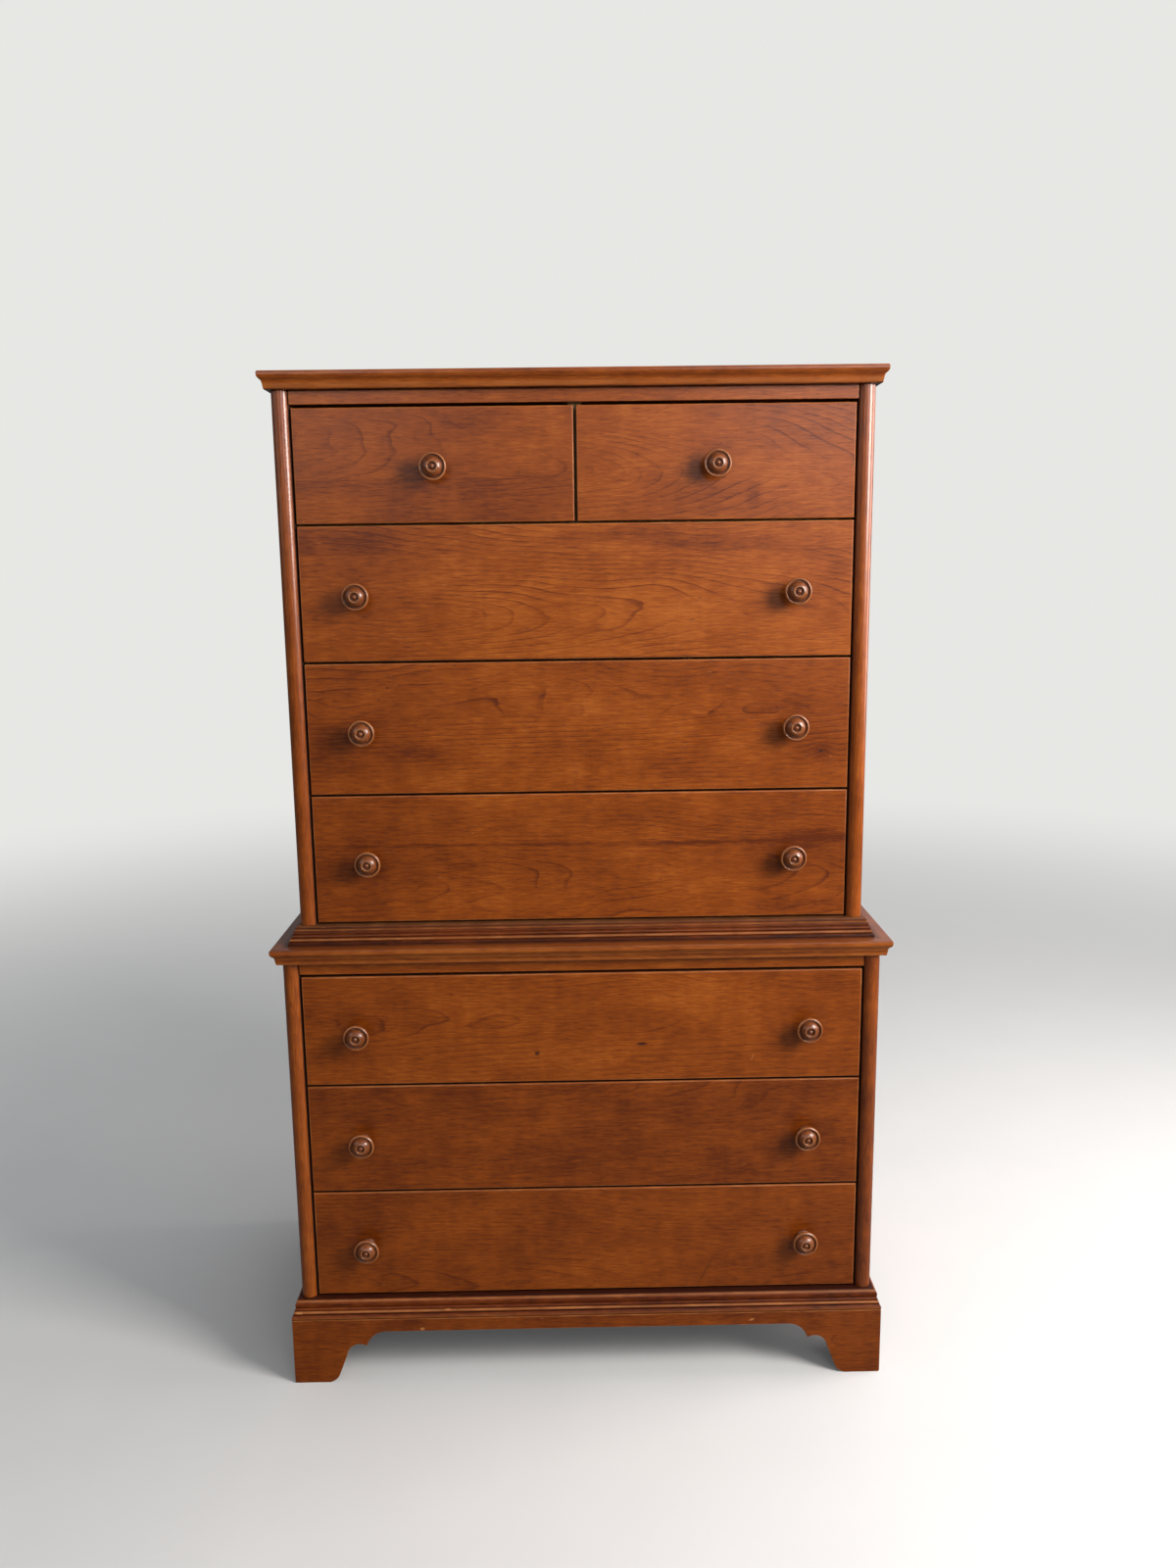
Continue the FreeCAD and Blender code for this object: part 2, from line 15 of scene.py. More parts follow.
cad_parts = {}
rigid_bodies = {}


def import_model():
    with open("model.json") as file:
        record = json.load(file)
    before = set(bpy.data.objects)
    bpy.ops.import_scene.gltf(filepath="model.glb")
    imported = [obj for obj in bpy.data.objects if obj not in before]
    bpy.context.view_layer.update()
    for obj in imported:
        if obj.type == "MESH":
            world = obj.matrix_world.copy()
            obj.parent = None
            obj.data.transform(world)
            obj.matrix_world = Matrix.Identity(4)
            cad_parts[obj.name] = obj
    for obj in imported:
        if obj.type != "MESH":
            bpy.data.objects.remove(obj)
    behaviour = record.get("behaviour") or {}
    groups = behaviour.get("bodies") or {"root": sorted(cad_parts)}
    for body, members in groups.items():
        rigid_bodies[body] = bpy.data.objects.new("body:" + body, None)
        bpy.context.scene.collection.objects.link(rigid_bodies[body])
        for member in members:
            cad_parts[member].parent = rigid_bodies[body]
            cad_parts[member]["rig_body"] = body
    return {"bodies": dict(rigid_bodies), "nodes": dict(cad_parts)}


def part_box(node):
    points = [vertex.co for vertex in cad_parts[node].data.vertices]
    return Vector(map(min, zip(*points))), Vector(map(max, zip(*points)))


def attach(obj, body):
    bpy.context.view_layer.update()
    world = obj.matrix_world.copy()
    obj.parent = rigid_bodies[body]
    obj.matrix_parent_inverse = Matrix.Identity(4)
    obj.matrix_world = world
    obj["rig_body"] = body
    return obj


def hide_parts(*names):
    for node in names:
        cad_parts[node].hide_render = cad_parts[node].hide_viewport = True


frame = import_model()

LOG = logging.getLogger("chest")
MM = 0.001

Colour = tuple[float, float, float]
Point = tuple[float, float]


class Value:
    """One output socket of a node, with the arithmetic that adds Math nodes."""

    def __init__(self, graph: "Graph", socket: bpy.types.NodeSocket | None) -> None:
        """Keep the graph and the socket, which an output node lacks."""
        self.graph = graph
        self.socket = socket

    def output(self, name: str) -> "Value":
        """Another output of the same node."""
        return Value(self.graph, self.socket.node.outputs[name])

    def math(self, operation: str, *others: "Value | float") -> "Value":
        """A Math node with this value as its first input."""
        return self.graph.math(operation, self, *others)

    def __add__(self, other: "Value | float") -> "Value":
        """Sum."""
        return self.math("ADD", other)

    __radd__ = __add__

    def __sub__(self, other: "Value | float") -> "Value":
        """Difference."""
        return self.math("SUBTRACT", other)

    def __rsub__(self, other: float) -> "Value":
        """Difference from a number."""
        return self.graph.math("SUBTRACT", other, self)

    def __mul__(self, other: "Value | float") -> "Value":
        """Product."""
        return self.math("MULTIPLY", other)

    __rmul__ = __mul__

    def __truediv__(self, other: "Value | float") -> "Value":
        """Quotient."""
        return self.math("DIVIDE", other)

    def __rtruediv__(self, other: float) -> "Value":
        """A number divided by this value."""
        return self.graph.math("DIVIDE", other, self)

    def __abs__(self) -> "Value":
        """Distance from zero."""
        return self.math("ABSOLUTE")

    def above(self, level: "Value | float") -> "Value":
        """One where this value lies above a level, otherwise zero."""
        return self.math("GREATER_THAN", level)

    def below(self, level: "Value | float") -> "Value":
        """One where this value lies below a level, otherwise zero."""
        return self.math("LESS_THAN", level)

    def part(self) -> "Value":
        """The part after the decimal point."""
        return self.math("FRACT")

    def fade(self, nought: float, one: float) -> "Value":
        """Zero at one level and one at the other, with a smooth change between them."""
        return self.graph.make("ShaderNodeMapRange", {"interpolation_type": "SMOOTHSTEP"},
                               {"Value": self, "From Min": nought, "From Max": one})


class Graph:
    """The node tree of one material or of the world, with short ways to add nodes."""

    def __init__(self, tree: bpy.types.NodeTree) -> None:
        """Start from an empty tree."""
        self.tree = tree
        tree.nodes.clear()

    def make(self, kind: str, settings: Mapping[str, Any] | None = None,
             inputs: Mapping[str | int, Any] | None = None, output: str | int = 0) -> Value:
        """Add a node.

        Args:
            kind: the node's type name.
            settings: its own properties, set first.
            inputs: a value or a link for each named or numbered socket.
            output: the output to hand back.

        Returns:
            That output, as a value.
        """
        node = self.tree.nodes.new(kind)
        for name, setting in (settings or {}).items():
            setattr(node, name, setting)
        for name, source in (inputs or {}).items():
            if isinstance(source, Value):
                self.tree.links.new(source.socket, node.inputs[name])
            else:
                node.inputs[name].default_value = source
        return Value(self, node.outputs[output] if node.outputs else None)

    def math(self, operation: str, *inputs: "Value | float") -> Value:
        """A Math node."""
        return self.make("ShaderNodeMath", {"operation": operation}, dict(enumerate(inputs)))

    def vector(self, x: "Value | float", y: "Value | float", z: "Value | float") -> Value:
        """Three numbers as one vector."""
        return self.make("ShaderNodeCombineXYZ", None, {"X": x, "Y": y, "Z": z})

    def split(self, vector: Value) -> tuple[Value, Value, Value]:
        """The three numbers of a vector."""
        x = self.make("ShaderNodeSeparateXYZ", None, {0: vector})
        return x, x.output("Y"), x.output("Z")

    def red(self, colour: Value) -> Value:
        """The first number of a colour."""
        return self.make("ShaderNodeSeparateColor", None, {0: colour})

    def place(self) -> Value:
        """The place on a surface, in the frame."""
        return self.make("ShaderNodeTexCoord", None, None, "Object")

    def camera_ray(self) -> Value:
        """One where the camera looks straight at a surface."""
        return self.make("ShaderNodeLightPath", None, None, "Is Camera Ray")

    def spread(self, place: Value, scale: Sequence[float], seed: float) -> Value:
        """A place, stretched for a pattern and moved to a stretch of it that no other piece uses."""
        shift = (1.7 * seed, 2.3 * seed, 0.9 * seed)
        return self.make("ShaderNodeVectorMath", {"operation": "MULTIPLY_ADD"},
                         {0: place, 1: tuple(scale), 2: shift})

    def noise(self, place: Value, scale: Sequence[float], seed: float, detail: float) -> Value:
        """Soft noise from 0 to 1, with its own scale along each axis."""
        inputs = {"Vector": self.spread(place, scale, seed), "Scale": 1.0, "Detail": detail}
        return self.make("ShaderNodeTexNoise", None, inputs)

    def cells(self, place: Value, scale: Sequence[float], seed: float) -> Value:
        """Distance to the nearest of a field of scattered points; Color is random for each."""
        inputs = {"Vector": self.spread(place, scale, seed), "Scale": 1.0}
        return self.make("ShaderNodeTexVoronoi", None, inputs, "Distance")

    def mix(self, share: "Value | float", first: "Value | Colour", second: "Value | Colour") -> Value:
        """Blend two colours."""
        colours = [c if isinstance(c, Value) else (*c, 1.0) for c in (first, second)]
        return self.make("ShaderNodeMix", {"data_type": "RGBA"},
                         {0: share, 6: colours[0], 7: colours[1]}, 2)

    def blend(self, share: Value, first: "Value | float", second: "Value | float") -> Value:
        """Blend two numbers."""
        return self.make("ShaderNodeMix", {"data_type": "FLOAT"}, {0: share, 2: first, 3: second})

    def mask(self, name: str) -> Value:
        """A number that the mesh itself carries."""
        return self.make("ShaderNodeAttribute", {"attribute_name": name}, None, "Fac")


PlaceMask = Callable[[Graph, Value], Value]


class Grain(Enum):
    """How a board lies: the axes along its fibres, across them and through it."""

    FRONT = ("X", "Z", "Y")
    TOP = ("X", "Y", "Z")
    SIDE = ("Z", "Y", "X")
    POST = ("Z", "X", "Y")
    RUNNER = ("Y", "Z", "X")


class Flaw(Enum):
    """Kinds of mark on a front."""

    KNOT = "knot"
    DENT = "dent"
    SCRATCH = "scratch"
    STAIN = "stain"


@dataclass(frozen=True)
class Mark:
    """One mark, at a place on the front: its half length, half width, strength and turn in degrees.

    A stain with a strength below 0 is a pale patch.
    """

    kind: Flaw
    x: float
    z: float
    length: float
    width: float
    strength: float = 0.8
    turn: float = 0.0

    def mask(self, x: Value, z: Value, ragged: "Value | float") -> Value:
        """How far from the middle of the mark a place is: one at its rim."""
        cos, sin = math.cos(math.radians(self.turn)), math.sin(math.radians(self.turn))
        right, up = x - self.x, z - self.z
        along = (right * cos + up * sin) / self.length
        across = (up * cos - right * sin) / self.width
        return (along * along + across * across + ragged).math("SQRT")


def marks(kind: Flaw, *rows: tuple[float, ...]) -> tuple[Mark, ...]:
    """Marks of one kind.

    Args:
        kind: what they are.
        rows: for each its x, z, half length and half width, in millimetres, and then its strength and turn
            if they aren't the usual ones.

    Returns:
        The marks.
    """
    return tuple(Mark(kind, *(size * MM for size in row[:4]), *row[4:]) for row in rows)


@dataclass(frozen=True)
class PaintedLine:
    """A level line along a moulding, in the frame: a painted highlight, with some rub, if its share is above
    0; painted shade, with some dirt, if below.
    """

    level: float
    half: float
    share: float


def lines(*rows: tuple[float, float, float]) -> tuple[PaintedLine, ...]:
    """Painted highlight and shade lines along a moulding, each from its level and half width in millimetres
    and its share.
    """
    return tuple(PaintedLine(level * MM, half * MM, share) for level, half, share in rows)


@dataclass(frozen=True)
class Board:
    """How one piece was cut from its tree.

    Attributes:
        grain: how the board lies.
        seed: picks the stretch of the pattern.
        pith_depth: from the middle of the board back to the heart of the tree.
        pith_side: from the middle of the board across to the heart.
        tilt: how fast the heart runs away from the face.
        seams: levels, from the middle of the board, where strips are glued edge to edge.
        tone: lighter (above 0) or darker than its neighbours.
        figure: strength of its growth lines.
        marks: flaws on the face.
        lines: painted highlight and shade lines along the piece, with some rub and dirt.
        knobs: distance of the knobs from the middle of the board, if it has any.
        hands: how far hands have darkened the wood for some way round the knobs.
        painted_shade: gives the share of painted shade at a place in the frame, if the board has any.
        bare_from: depth, from the middle of the board, from which the wood is left bare, if it is.
        across_share: gives one where the piece runs across the front instead, if parts of it do.
    """

    grain: Grain
    seed: float
    pith_depth: float = 0.055
    pith_side: float = 0.0
    tilt: float = 0.06
    seams: tuple[float, ...] = ()
    tone: float = 0.0
    figure: float = 1.0
    marks: tuple[Mark, ...] = ()
    lines: tuple[PaintedLine, ...] = ()
    knobs: float | None = None
    hands: float = 0.0
    painted_shade: PlaceMask | None = None
    bare_from: float | None = None
    across_share: PlaceMask | None = None


@dataclass(frozen=True)
class Wood:
    """A wood with its finish. Colours are linear, lengths in metres.

    Attributes:
        dark: colour of the streaks.
        middle: colour of most of the surface.
        light: colour of the palest wood.
        bare: colour where the finish is rubbed through.
        ring: distance from one growth line to the next.
        line: how far a growth line darkens the tone.
        cloud: how far slow stains change the tone.
        band: how far broad bands along the grain change it.
        fibre: how far fine streaks change the tone.
        pore: how far pores darken the tone.
        wear: share of rubbed edges and specks.
        roughness: of the finish.
        coat: weight of the clear coat.
        specular: reflection level under the coat.
        relief: depth of the grain.
    """

    dark: Colour
    middle: Colour
    light: Colour
    bare: Colour
    ring: float = 7.0 * MM
    line: float = 0.4
    cloud: float = 0.8
    band: float = 0.25
    fibre: float = 0.74
    pore: float = 0.3
    wear: float = 1.0
    roughness: float = 0.34
    coat: float = 0.06
    specular: float = 0.37
    relief: float = 0.12 * MM

    def material(self, name: str, board: Board, centre: Vector) -> bpy.types.Material:
        """Make the finish of one piece.

        Args:
            name: of the material.
            board: how the piece was cut.
            centre: the middle of the piece, in the frame.

        Returns:
            The material.
        """
        material = bpy.data.materials.new(name)
        material.use_nodes = True
        WoodShader(self, board, Graph(material.node_tree), centre).lay()
        return material


@dataclass(frozen=True)
class Pattern:
    """A field of soft noise in the wood.

    Attributes:
        along: features per metre along the fibres.
        across: features per metre across and through the board.
        detail: octaves of finer noise.
        shift: keeps it apart from the other patterns.
        share: how far it swings.
    """

    along: float
    across: float
    detail: float
    shift: float = 0.0
    share: float = 1.0


FIBRE = Pattern(42.0, 400.0, 3.0)
FINE_FIBRE = Pattern(80.0, 860.0, 2.0, 19.0, 0.7)
PORES = Pattern(62.0, 760.0, 1.0, 3.0)
BROAD_CLOUD = Pattern(5.0, 10.0, 3.0, 7.0, 0.8)
CLOUD = Pattern(18.0, 30.0, 4.0, 9.0, 0.6)
CROSS_CLOUD = Pattern(52.0, 12.0, 3.0, 17.0, 0.34)
BANDS = Pattern(1.1, 24.0, 2.0, 13.0)
HEART_PATH = Pattern(2.6, 7.0, 2.0, 11.0)
RING_EDGE = Pattern(14.0, 60.0, 2.0, 5.0, 0.4)
RING_STRENGTH = Pattern(6.0, 14.0, 2.0, 23.0)
STAIN_EDGE = Pattern(16.0, 60.0, 3.0, 67.0, 2.2)
HAND_EDGE = Pattern(40.0, 40.0, 2.0, 31.0, 0.018)
RUBBED_PATCHES = Pattern(30.0, 30.0, 3.0, 41.0)
MARK_EDGE = Pattern(240.0, 420.0, 2.0, 53.0, 1.1)
SPECK_CELLS = (44.0, 44.0, 44.0)
SCRATCH_CELLS = (16.0, 150.0, 150.0)


class WoodShader:
    """Lays one wood, cut one way, into a graph.

    The constants say how far one strip of a board is moved along, across and about the heart from the next,
    how far the heart wanders in depth and to the side, how far a knot bends the growth lines, how strips,
    seams and the dirt and painted shade in inner corners change the tone, how much of the dark colour is left
    in a dent, on a painted shade line and under painted shade, how smooth the finish may get, how rough
    painted shade, bare wood and the clear coat are, and how strong the relief is.
    """

    STRIP_ALONG = 0.61
    STRIP_ACROSS = 0.17
    STRIP_HEART = 0.05
    HEART_DEPTH = 0.075
    HEART_SIDE = 0.03
    KNOT_BEND = 0.006
    STRIP_TONE = 0.16
    SEAM_TONE = 0.14
    DIRT_AND_SHADE_TONE = 0.55
    IN_DENT_AND_SHADE_LINE = 0.22
    UNDER_PAINTED_SHADE = 0.1
    SMOOTHEST = 0.12
    PAINTED_SHADE_ROUGHNESS = 0.8
    BARE_ROUGHNESS = 0.7
    COAT_ROUGHNESS = 0.22
    BUMP_STRENGTH = 0.5

    def __init__(self, wood: Wood, board: Board, graph: Graph, centre: Vector) -> None:
        """Find the place on the surface, along, across and through the board."""
        self.wood = wood
        self.board = board
        self.graph = graph
        self.place = place = graph.place()
        self.x, self.y, self.z = graph.split(place)
        here = graph.make("ShaderNodeVectorMath", {"operation": "SUBTRACT"}, {0: place, 1: centre})
        self.local = dict(zip("XYZ", graph.split(here)))
        ways = [self.local[axis] for axis in board.grain.value]
        if board.across_share is not None:
            share = board.across_share(graph, place)
            front = [self.local[axis] for axis in Grain.FRONT.value]
            ways = [graph.blend(share, run, other) for run, other in zip(ways, front)]
        self.along, self.across, self.through = ways
        self.strip: Value | float = 0.0
        for seam in board.seams:
            self.strip = self.strip + self.across.above(seam)
        self.run = self.along + self.strip * self.STRIP_ALONG
        self.fabric = graph.vector(self.run, self.across + self.strip * self.STRIP_ACROSS, self.through)

    def noise(self, pattern: Pattern) -> Value:
        """A pattern in the wood, about zero."""
        scale = (pattern.along, pattern.across, pattern.across)
        found = self.graph.noise(self.fabric, scale, self.board.seed + pattern.shift, pattern.detail) - 0.5
        return found * pattern.share

    def growth_lines(self) -> Value:
        """Growth lines: rings about a heart that wanders and runs away from the face."""
        board = self.board
        wander = self.noise(HEART_PATH)
        depth = self.run * board.tilt + wander * self.HEART_DEPTH + board.pith_depth + self.through
        side = self.across + self.strip * self.STRIP_HEART - board.pith_side + wander * self.HEART_SIDE
        radius = (depth * depth + side * side).math("SQRT")
        for reach in self.knot_reach():
            radius = radius + reach * self.KNOT_BEND
        ring = (radius / self.wood.ring + self.noise(RING_EDGE)).part()
        strength = self.noise(RING_STRENGTH).fade(-0.18, 0.2)
        return (ring.fade(0.8, 0.95) + ring.fade(0.2, 0.8) * 0.2) * ring.fade(1.0, 0.97) * strength

    def knot_reach(self) -> list[Value]:
        """How strongly each knot bends the growth lines round itself."""
        knots = [mark for mark in self.board.marks if mark.kind is Flaw.KNOT]
        return [mark.mask(self.x, self.z, 0.0).fade(9.0, 0.5) for mark in knots]

    def stain(self) -> "Value | float":
        """How far the stains in the wood darken the tone."""
        ragged = self.noise(STAIN_EDGE)
        depth: Value | float = 0.0
        for mark in self.board.marks:
            if mark.kind is Flaw.STAIN:
                depth = depth + mark.mask(self.x, self.z, ragged).fade(1.7, 0.0) * mark.strength
        return depth

    def knob_grime(self) -> Value:
        """Dark skin round the knobs, where hands have been."""
        aside = abs(self.local["X"]) - self.board.knobs
        height = self.local["Z"]
        reach = (aside * aside + height * height).math("SQRT") + self.noise(HAND_EDGE)
        return reach.fade(0.05, 0.012) * 0.12 + reach.fade(0.2, 0.02) * self.board.hands

    def tone(self, cloud: Value, fibre: Value, pores: Value, line: Value) -> Value:
        """The tone of the wood: 0 is its dark colour, 0.5 its middle one and 1 its light one.

        Args:
            cloud: slow stains.
            fibre: fine streaks.
            pores: one in a pore.
            line: one on a growth line.

        Returns:
            The tone, with seams, hand marks, stains, and dirt and painted shade in inner corners.
        """
        wood, board = self.wood, self.board
        tone = cloud * wood.cloud + self.noise(BANDS) * wood.band + fibre * wood.fibre + (0.5 + board.tone)
        tone = tone - pores * wood.pore - line * wood.line
        if board.seams:
            tone = tone + ((self.strip * 0.618 + board.seed * 0.37).part() - 0.5) * self.STRIP_TONE
            for seam in board.seams:
                tone = tone - abs(self.across - seam).fade(0.9 * MM, 0.2 * MM) * self.SEAM_TONE
        if board.knobs is not None:
            tone = tone - self.knob_grime()
        if board.marks:
            tone = tone - self.stain()
        # Dirt and painted shade in the hollows and on the top of grooved pieces, and in the knobs' grooves
        # and cups.
        return tone - self.graph.mask("hollow_dirt_and_shade") * self.DIRT_AND_SHADE_TONE

    def lay(self) -> None:
        """Work out tone, colour, gloss and relief, and set up the shader."""
        wood, board, graph = self.wood, self.board, self.graph
        fibre = self.noise(FIBRE) + self.noise(FINE_FIBRE)
        pores = self.noise(PORES).fade(0.12, 0.26)
        cloud = self.noise(BROAD_CLOUD) + self.noise(CLOUD) + self.noise(CROSS_CLOUD)
        line = self.growth_lines() * board.figure
        tone = self.tone(cloud, fibre, pores, line)
        colour = graph.mix(tone * 2.0, wood.dark, graph.mix(tone * 2.0 - 1.0, wood.middle, wood.light))
        gloss = cloud * 0.1 + pores * 0.1 + graph.mask("hollow_dirt_and_shade") * 0.2 + wood.roughness
        height = fibre * 0.5 - pores - line * 0.25
        colour, gloss, height = self.wear(colour, gloss, height)
        # Painted shade in the gaps beside the fronts and posts, and on the flat of the ledge.
        if board.painted_shade is not None:
            dirt_and_shade = board.painted_shade(graph, self.place)
            colour = graph.mix(dirt_and_shade, colour, self.darkened(self.UNDER_PAINTED_SHADE))
            gloss = graph.blend(dirt_and_shade, gloss, self.PAINTED_SHADE_ROUGHNESS)
        if board.bare_from is not None:
            inside = self.local["Y"].above(board.bare_from)
            raw = graph.mix(tone.fade(0.2, 0.8), tuple(0.6 * part for part in wood.bare), wood.bare)
            colour = graph.mix(inside, colour, raw)
            gloss = graph.blend(inside, gloss, self.BARE_ROUGHNESS)
        bump = graph.make("ShaderNodeBump", None, {
            "Strength": self.BUMP_STRENGTH, "Distance": wood.relief, "Height": height})
        shader = graph.make("ShaderNodeBsdfPrincipled", None, {
            "Base Color": colour, "Roughness": gloss.math("MAXIMUM", self.SMOOTHEST), "Normal": bump,
            "Specular IOR Level": wood.specular, "Coat Weight": wood.coat,
            "Coat Roughness": self.COAT_ROUGHNESS})
        graph.make("ShaderNodeOutputMaterial", None, {"Surface": shader})

    def darkened(self, share: float) -> Colour:
        """A share of the wood's dark colour."""
        return tuple(share * part for part in self.wood.dark)

    def wear(self, colour: Value, gloss: Value, height: Value) -> tuple[Value, Value, Value]:
        """Rub the arrises, paint the highlight and shade lines, scatter specks and short scratches, and add
        the piece's own marks.

        Args:
            colour: of the sound surface.
            gloss: its roughness.
            height: its relief.

        Returns:
            The three, worn.
        """
        wood, board, graph = self.wood, self.board, self.graph
        patchy = self.noise(RUBBED_PATCHES)
        rubbed = graph.mask("arris") * (patchy.fade(-0.15, 0.3) * 0.7 + 0.3) * (0.5 * wood.wear)
        colour = graph.mix(rubbed, colour, wood.bare)
        # Painted highlights where a line's share is above 0 and painted shade where it is below, with some
        # rub and dirt.
        for line in board.lines:
            near = abs(self.z - line.level).fade(line.half, 0.25 * line.half)
            tint = wood.bare if line.share > 0 else self.darkened(self.IN_DENT_AND_SHADE_LINE)
            share = near * (patchy.fade(-0.2, 0.25) * 0.5 + 0.5) * abs(line.share)
            colour = graph.mix(share, colour, tint)
        spots = graph.cells(self.fabric, SPECK_CELLS, board.seed)
        specks = spots.fade(0.055, 0.025) * graph.red(spots.output("Color")).above(0.9)
        hairs = graph.cells(self.fabric, SCRATCH_CELLS, board.seed + 2.0)
        scratches = hairs.fade(0.09, 0.03) * graph.red(hairs.output("Color")).above(0.955)
        worn = specks.math("MAXIMUM", scratches) * (0.5 * wood.wear)
        colour = graph.mix(worn, colour, wood.bare)
        return self.marked(colour, gloss + rubbed * 0.15 + worn * 0.2, height - worn * 1.5)

    def marked(self, colour: Value, gloss: Value, height: Value) -> tuple[Value, Value, Value]:
        """Add the knots, dents and scratches that the piece has of its own.

        Args:
            colour: of the worn surface.
            gloss: its roughness.
            height: its relief.

        Returns:
            The three, marked.
        """
        own = [mark for mark in self.board.marks if mark.kind is not Flaw.STAIN]
        if not own:
            return colour, gloss, height
        ragged = self.noise(MARK_EDGE).math("MAXIMUM", 0.0)
        facing = self.y.below(0.0)
        for mark in own:
            inside = mark.mask(self.x, self.z, ragged).fade(1.15, 0.5) * facing
            tint = self.wood.bare if mark.kind is Flaw.SCRATCH else self.darkened(self.IN_DENT_AND_SHADE_LINE)
            colour = self.graph.mix(inside * mark.strength, colour, tint)
            height = height - inside * (1.0 if mark.kind is Flaw.KNOT else 4.0)
            gloss = gloss + inside * 0.15
        return colour, gloss, height


CHERRY = Wood(dark=(0.11, 0.0185, 0.0012), middle=(0.268, 0.0555, 0.0026), light=(0.46, 0.122, 0.012),
              bare=(0.52, 0.2, 0.062))
POLISHED_CHERRY = replace(CHERRY, roughness=0.3, coat=0.5, specular=0.4)
MOULDED_CHERRY = replace(
    CHERRY, dark=(0.03, 0.0042, 0.0005), middle=(0.13, 0.0225, 0.0018), light=(0.26, 0.06, 0.007),
    line=0.1, band=0.4, wear=0.8, roughness=0.42, coat=0.03, specular=0.2)
TURNED_CHERRY = replace(
    CHERRY, dark=(0.085, 0.02, 0.005), middle=(0.2, 0.052, 0.0115), light=(0.36, 0.118, 0.032),
    ring=2.4 * MM, line=0.2, cloud=0.5, wear=1.7, roughness=0.3, coat=0.5, specular=0.45)
TOP_CHERRY = replace(CHERRY, roughness=0.3, coat=0.3)
MAPLE = Wood(
    dark=(0.3, 0.17, 0.075), middle=(0.47, 0.3, 0.15), light=(0.6, 0.42, 0.24), bare=(0.66, 0.5, 0.32),
    ring=6.0 * MM, line=0.2, cloud=0.6, band=0.3, fibre=0.3, pore=0.2, wear=0.35, roughness=0.56, coat=0.0,
    specular=0.3, relief=0.1 * MM)
POPLAR = Wood(
    dark=(0.2, 0.115, 0.05), middle=(0.36, 0.23, 0.11), light=(0.5, 0.35, 0.19), bare=(0.58, 0.44, 0.27),
    line=0.26, cloud=0.7, band=0.3, fibre=0.36, pore=0.2, wear=0.3, roughness=0.68, coat=0.0, specular=0.25,
    relief=0.16 * MM)
PLYWOOD = Wood(
    dark=(0.27, 0.15, 0.07), middle=(0.42, 0.26, 0.13), light=(0.54, 0.37, 0.21), bare=(0.6, 0.45, 0.28),
    ring=11.0 * MM, line=0.34, cloud=0.7, band=0.3, fibre=0.4, pore=0.26, wear=0.25, roughness=0.66, coat=0.0,
    specular=0.25, relief=0.16 * MM)


def middle_of(node: str) -> Vector:
    """The middle of a node's box."""
    low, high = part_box(node)
    return (low + high) / 2


def arc(start: Point, via: Point, end: Point, steps: int) -> list[Point]:
    """Points of a round stretch.

    Args:
        start: where it starts; not in the list.
        via: a point on the way.
        end: where it ends; last in the list.
        steps: number of points.

    Returns:
        The points along the circle through the three.
    """
    p, q, r = complex(*start), complex(*via), complex(*end)
    turn = (r - p) / (q - p)
    centre = p - (p - q) * (turn - abs(turn) ** 2) / (2j * turn.imag) if turn.imag else (p + r) / 2
    first = math.atan2((p - centre).imag, (p - centre).real)
    way, whole = ((math.atan2((c - centre).imag, (c - centre).real) - first) % math.tau for c in (q, r))
    sweep = whole if way <= whole else whole - math.tau
    spokes = [first + sweep * step / steps for step in range(1, steps + 1)]
    return [(centre.real + abs(p - centre) * math.cos(a), centre.imag + abs(p - centre) * math.sin(a))
            for a in spokes]


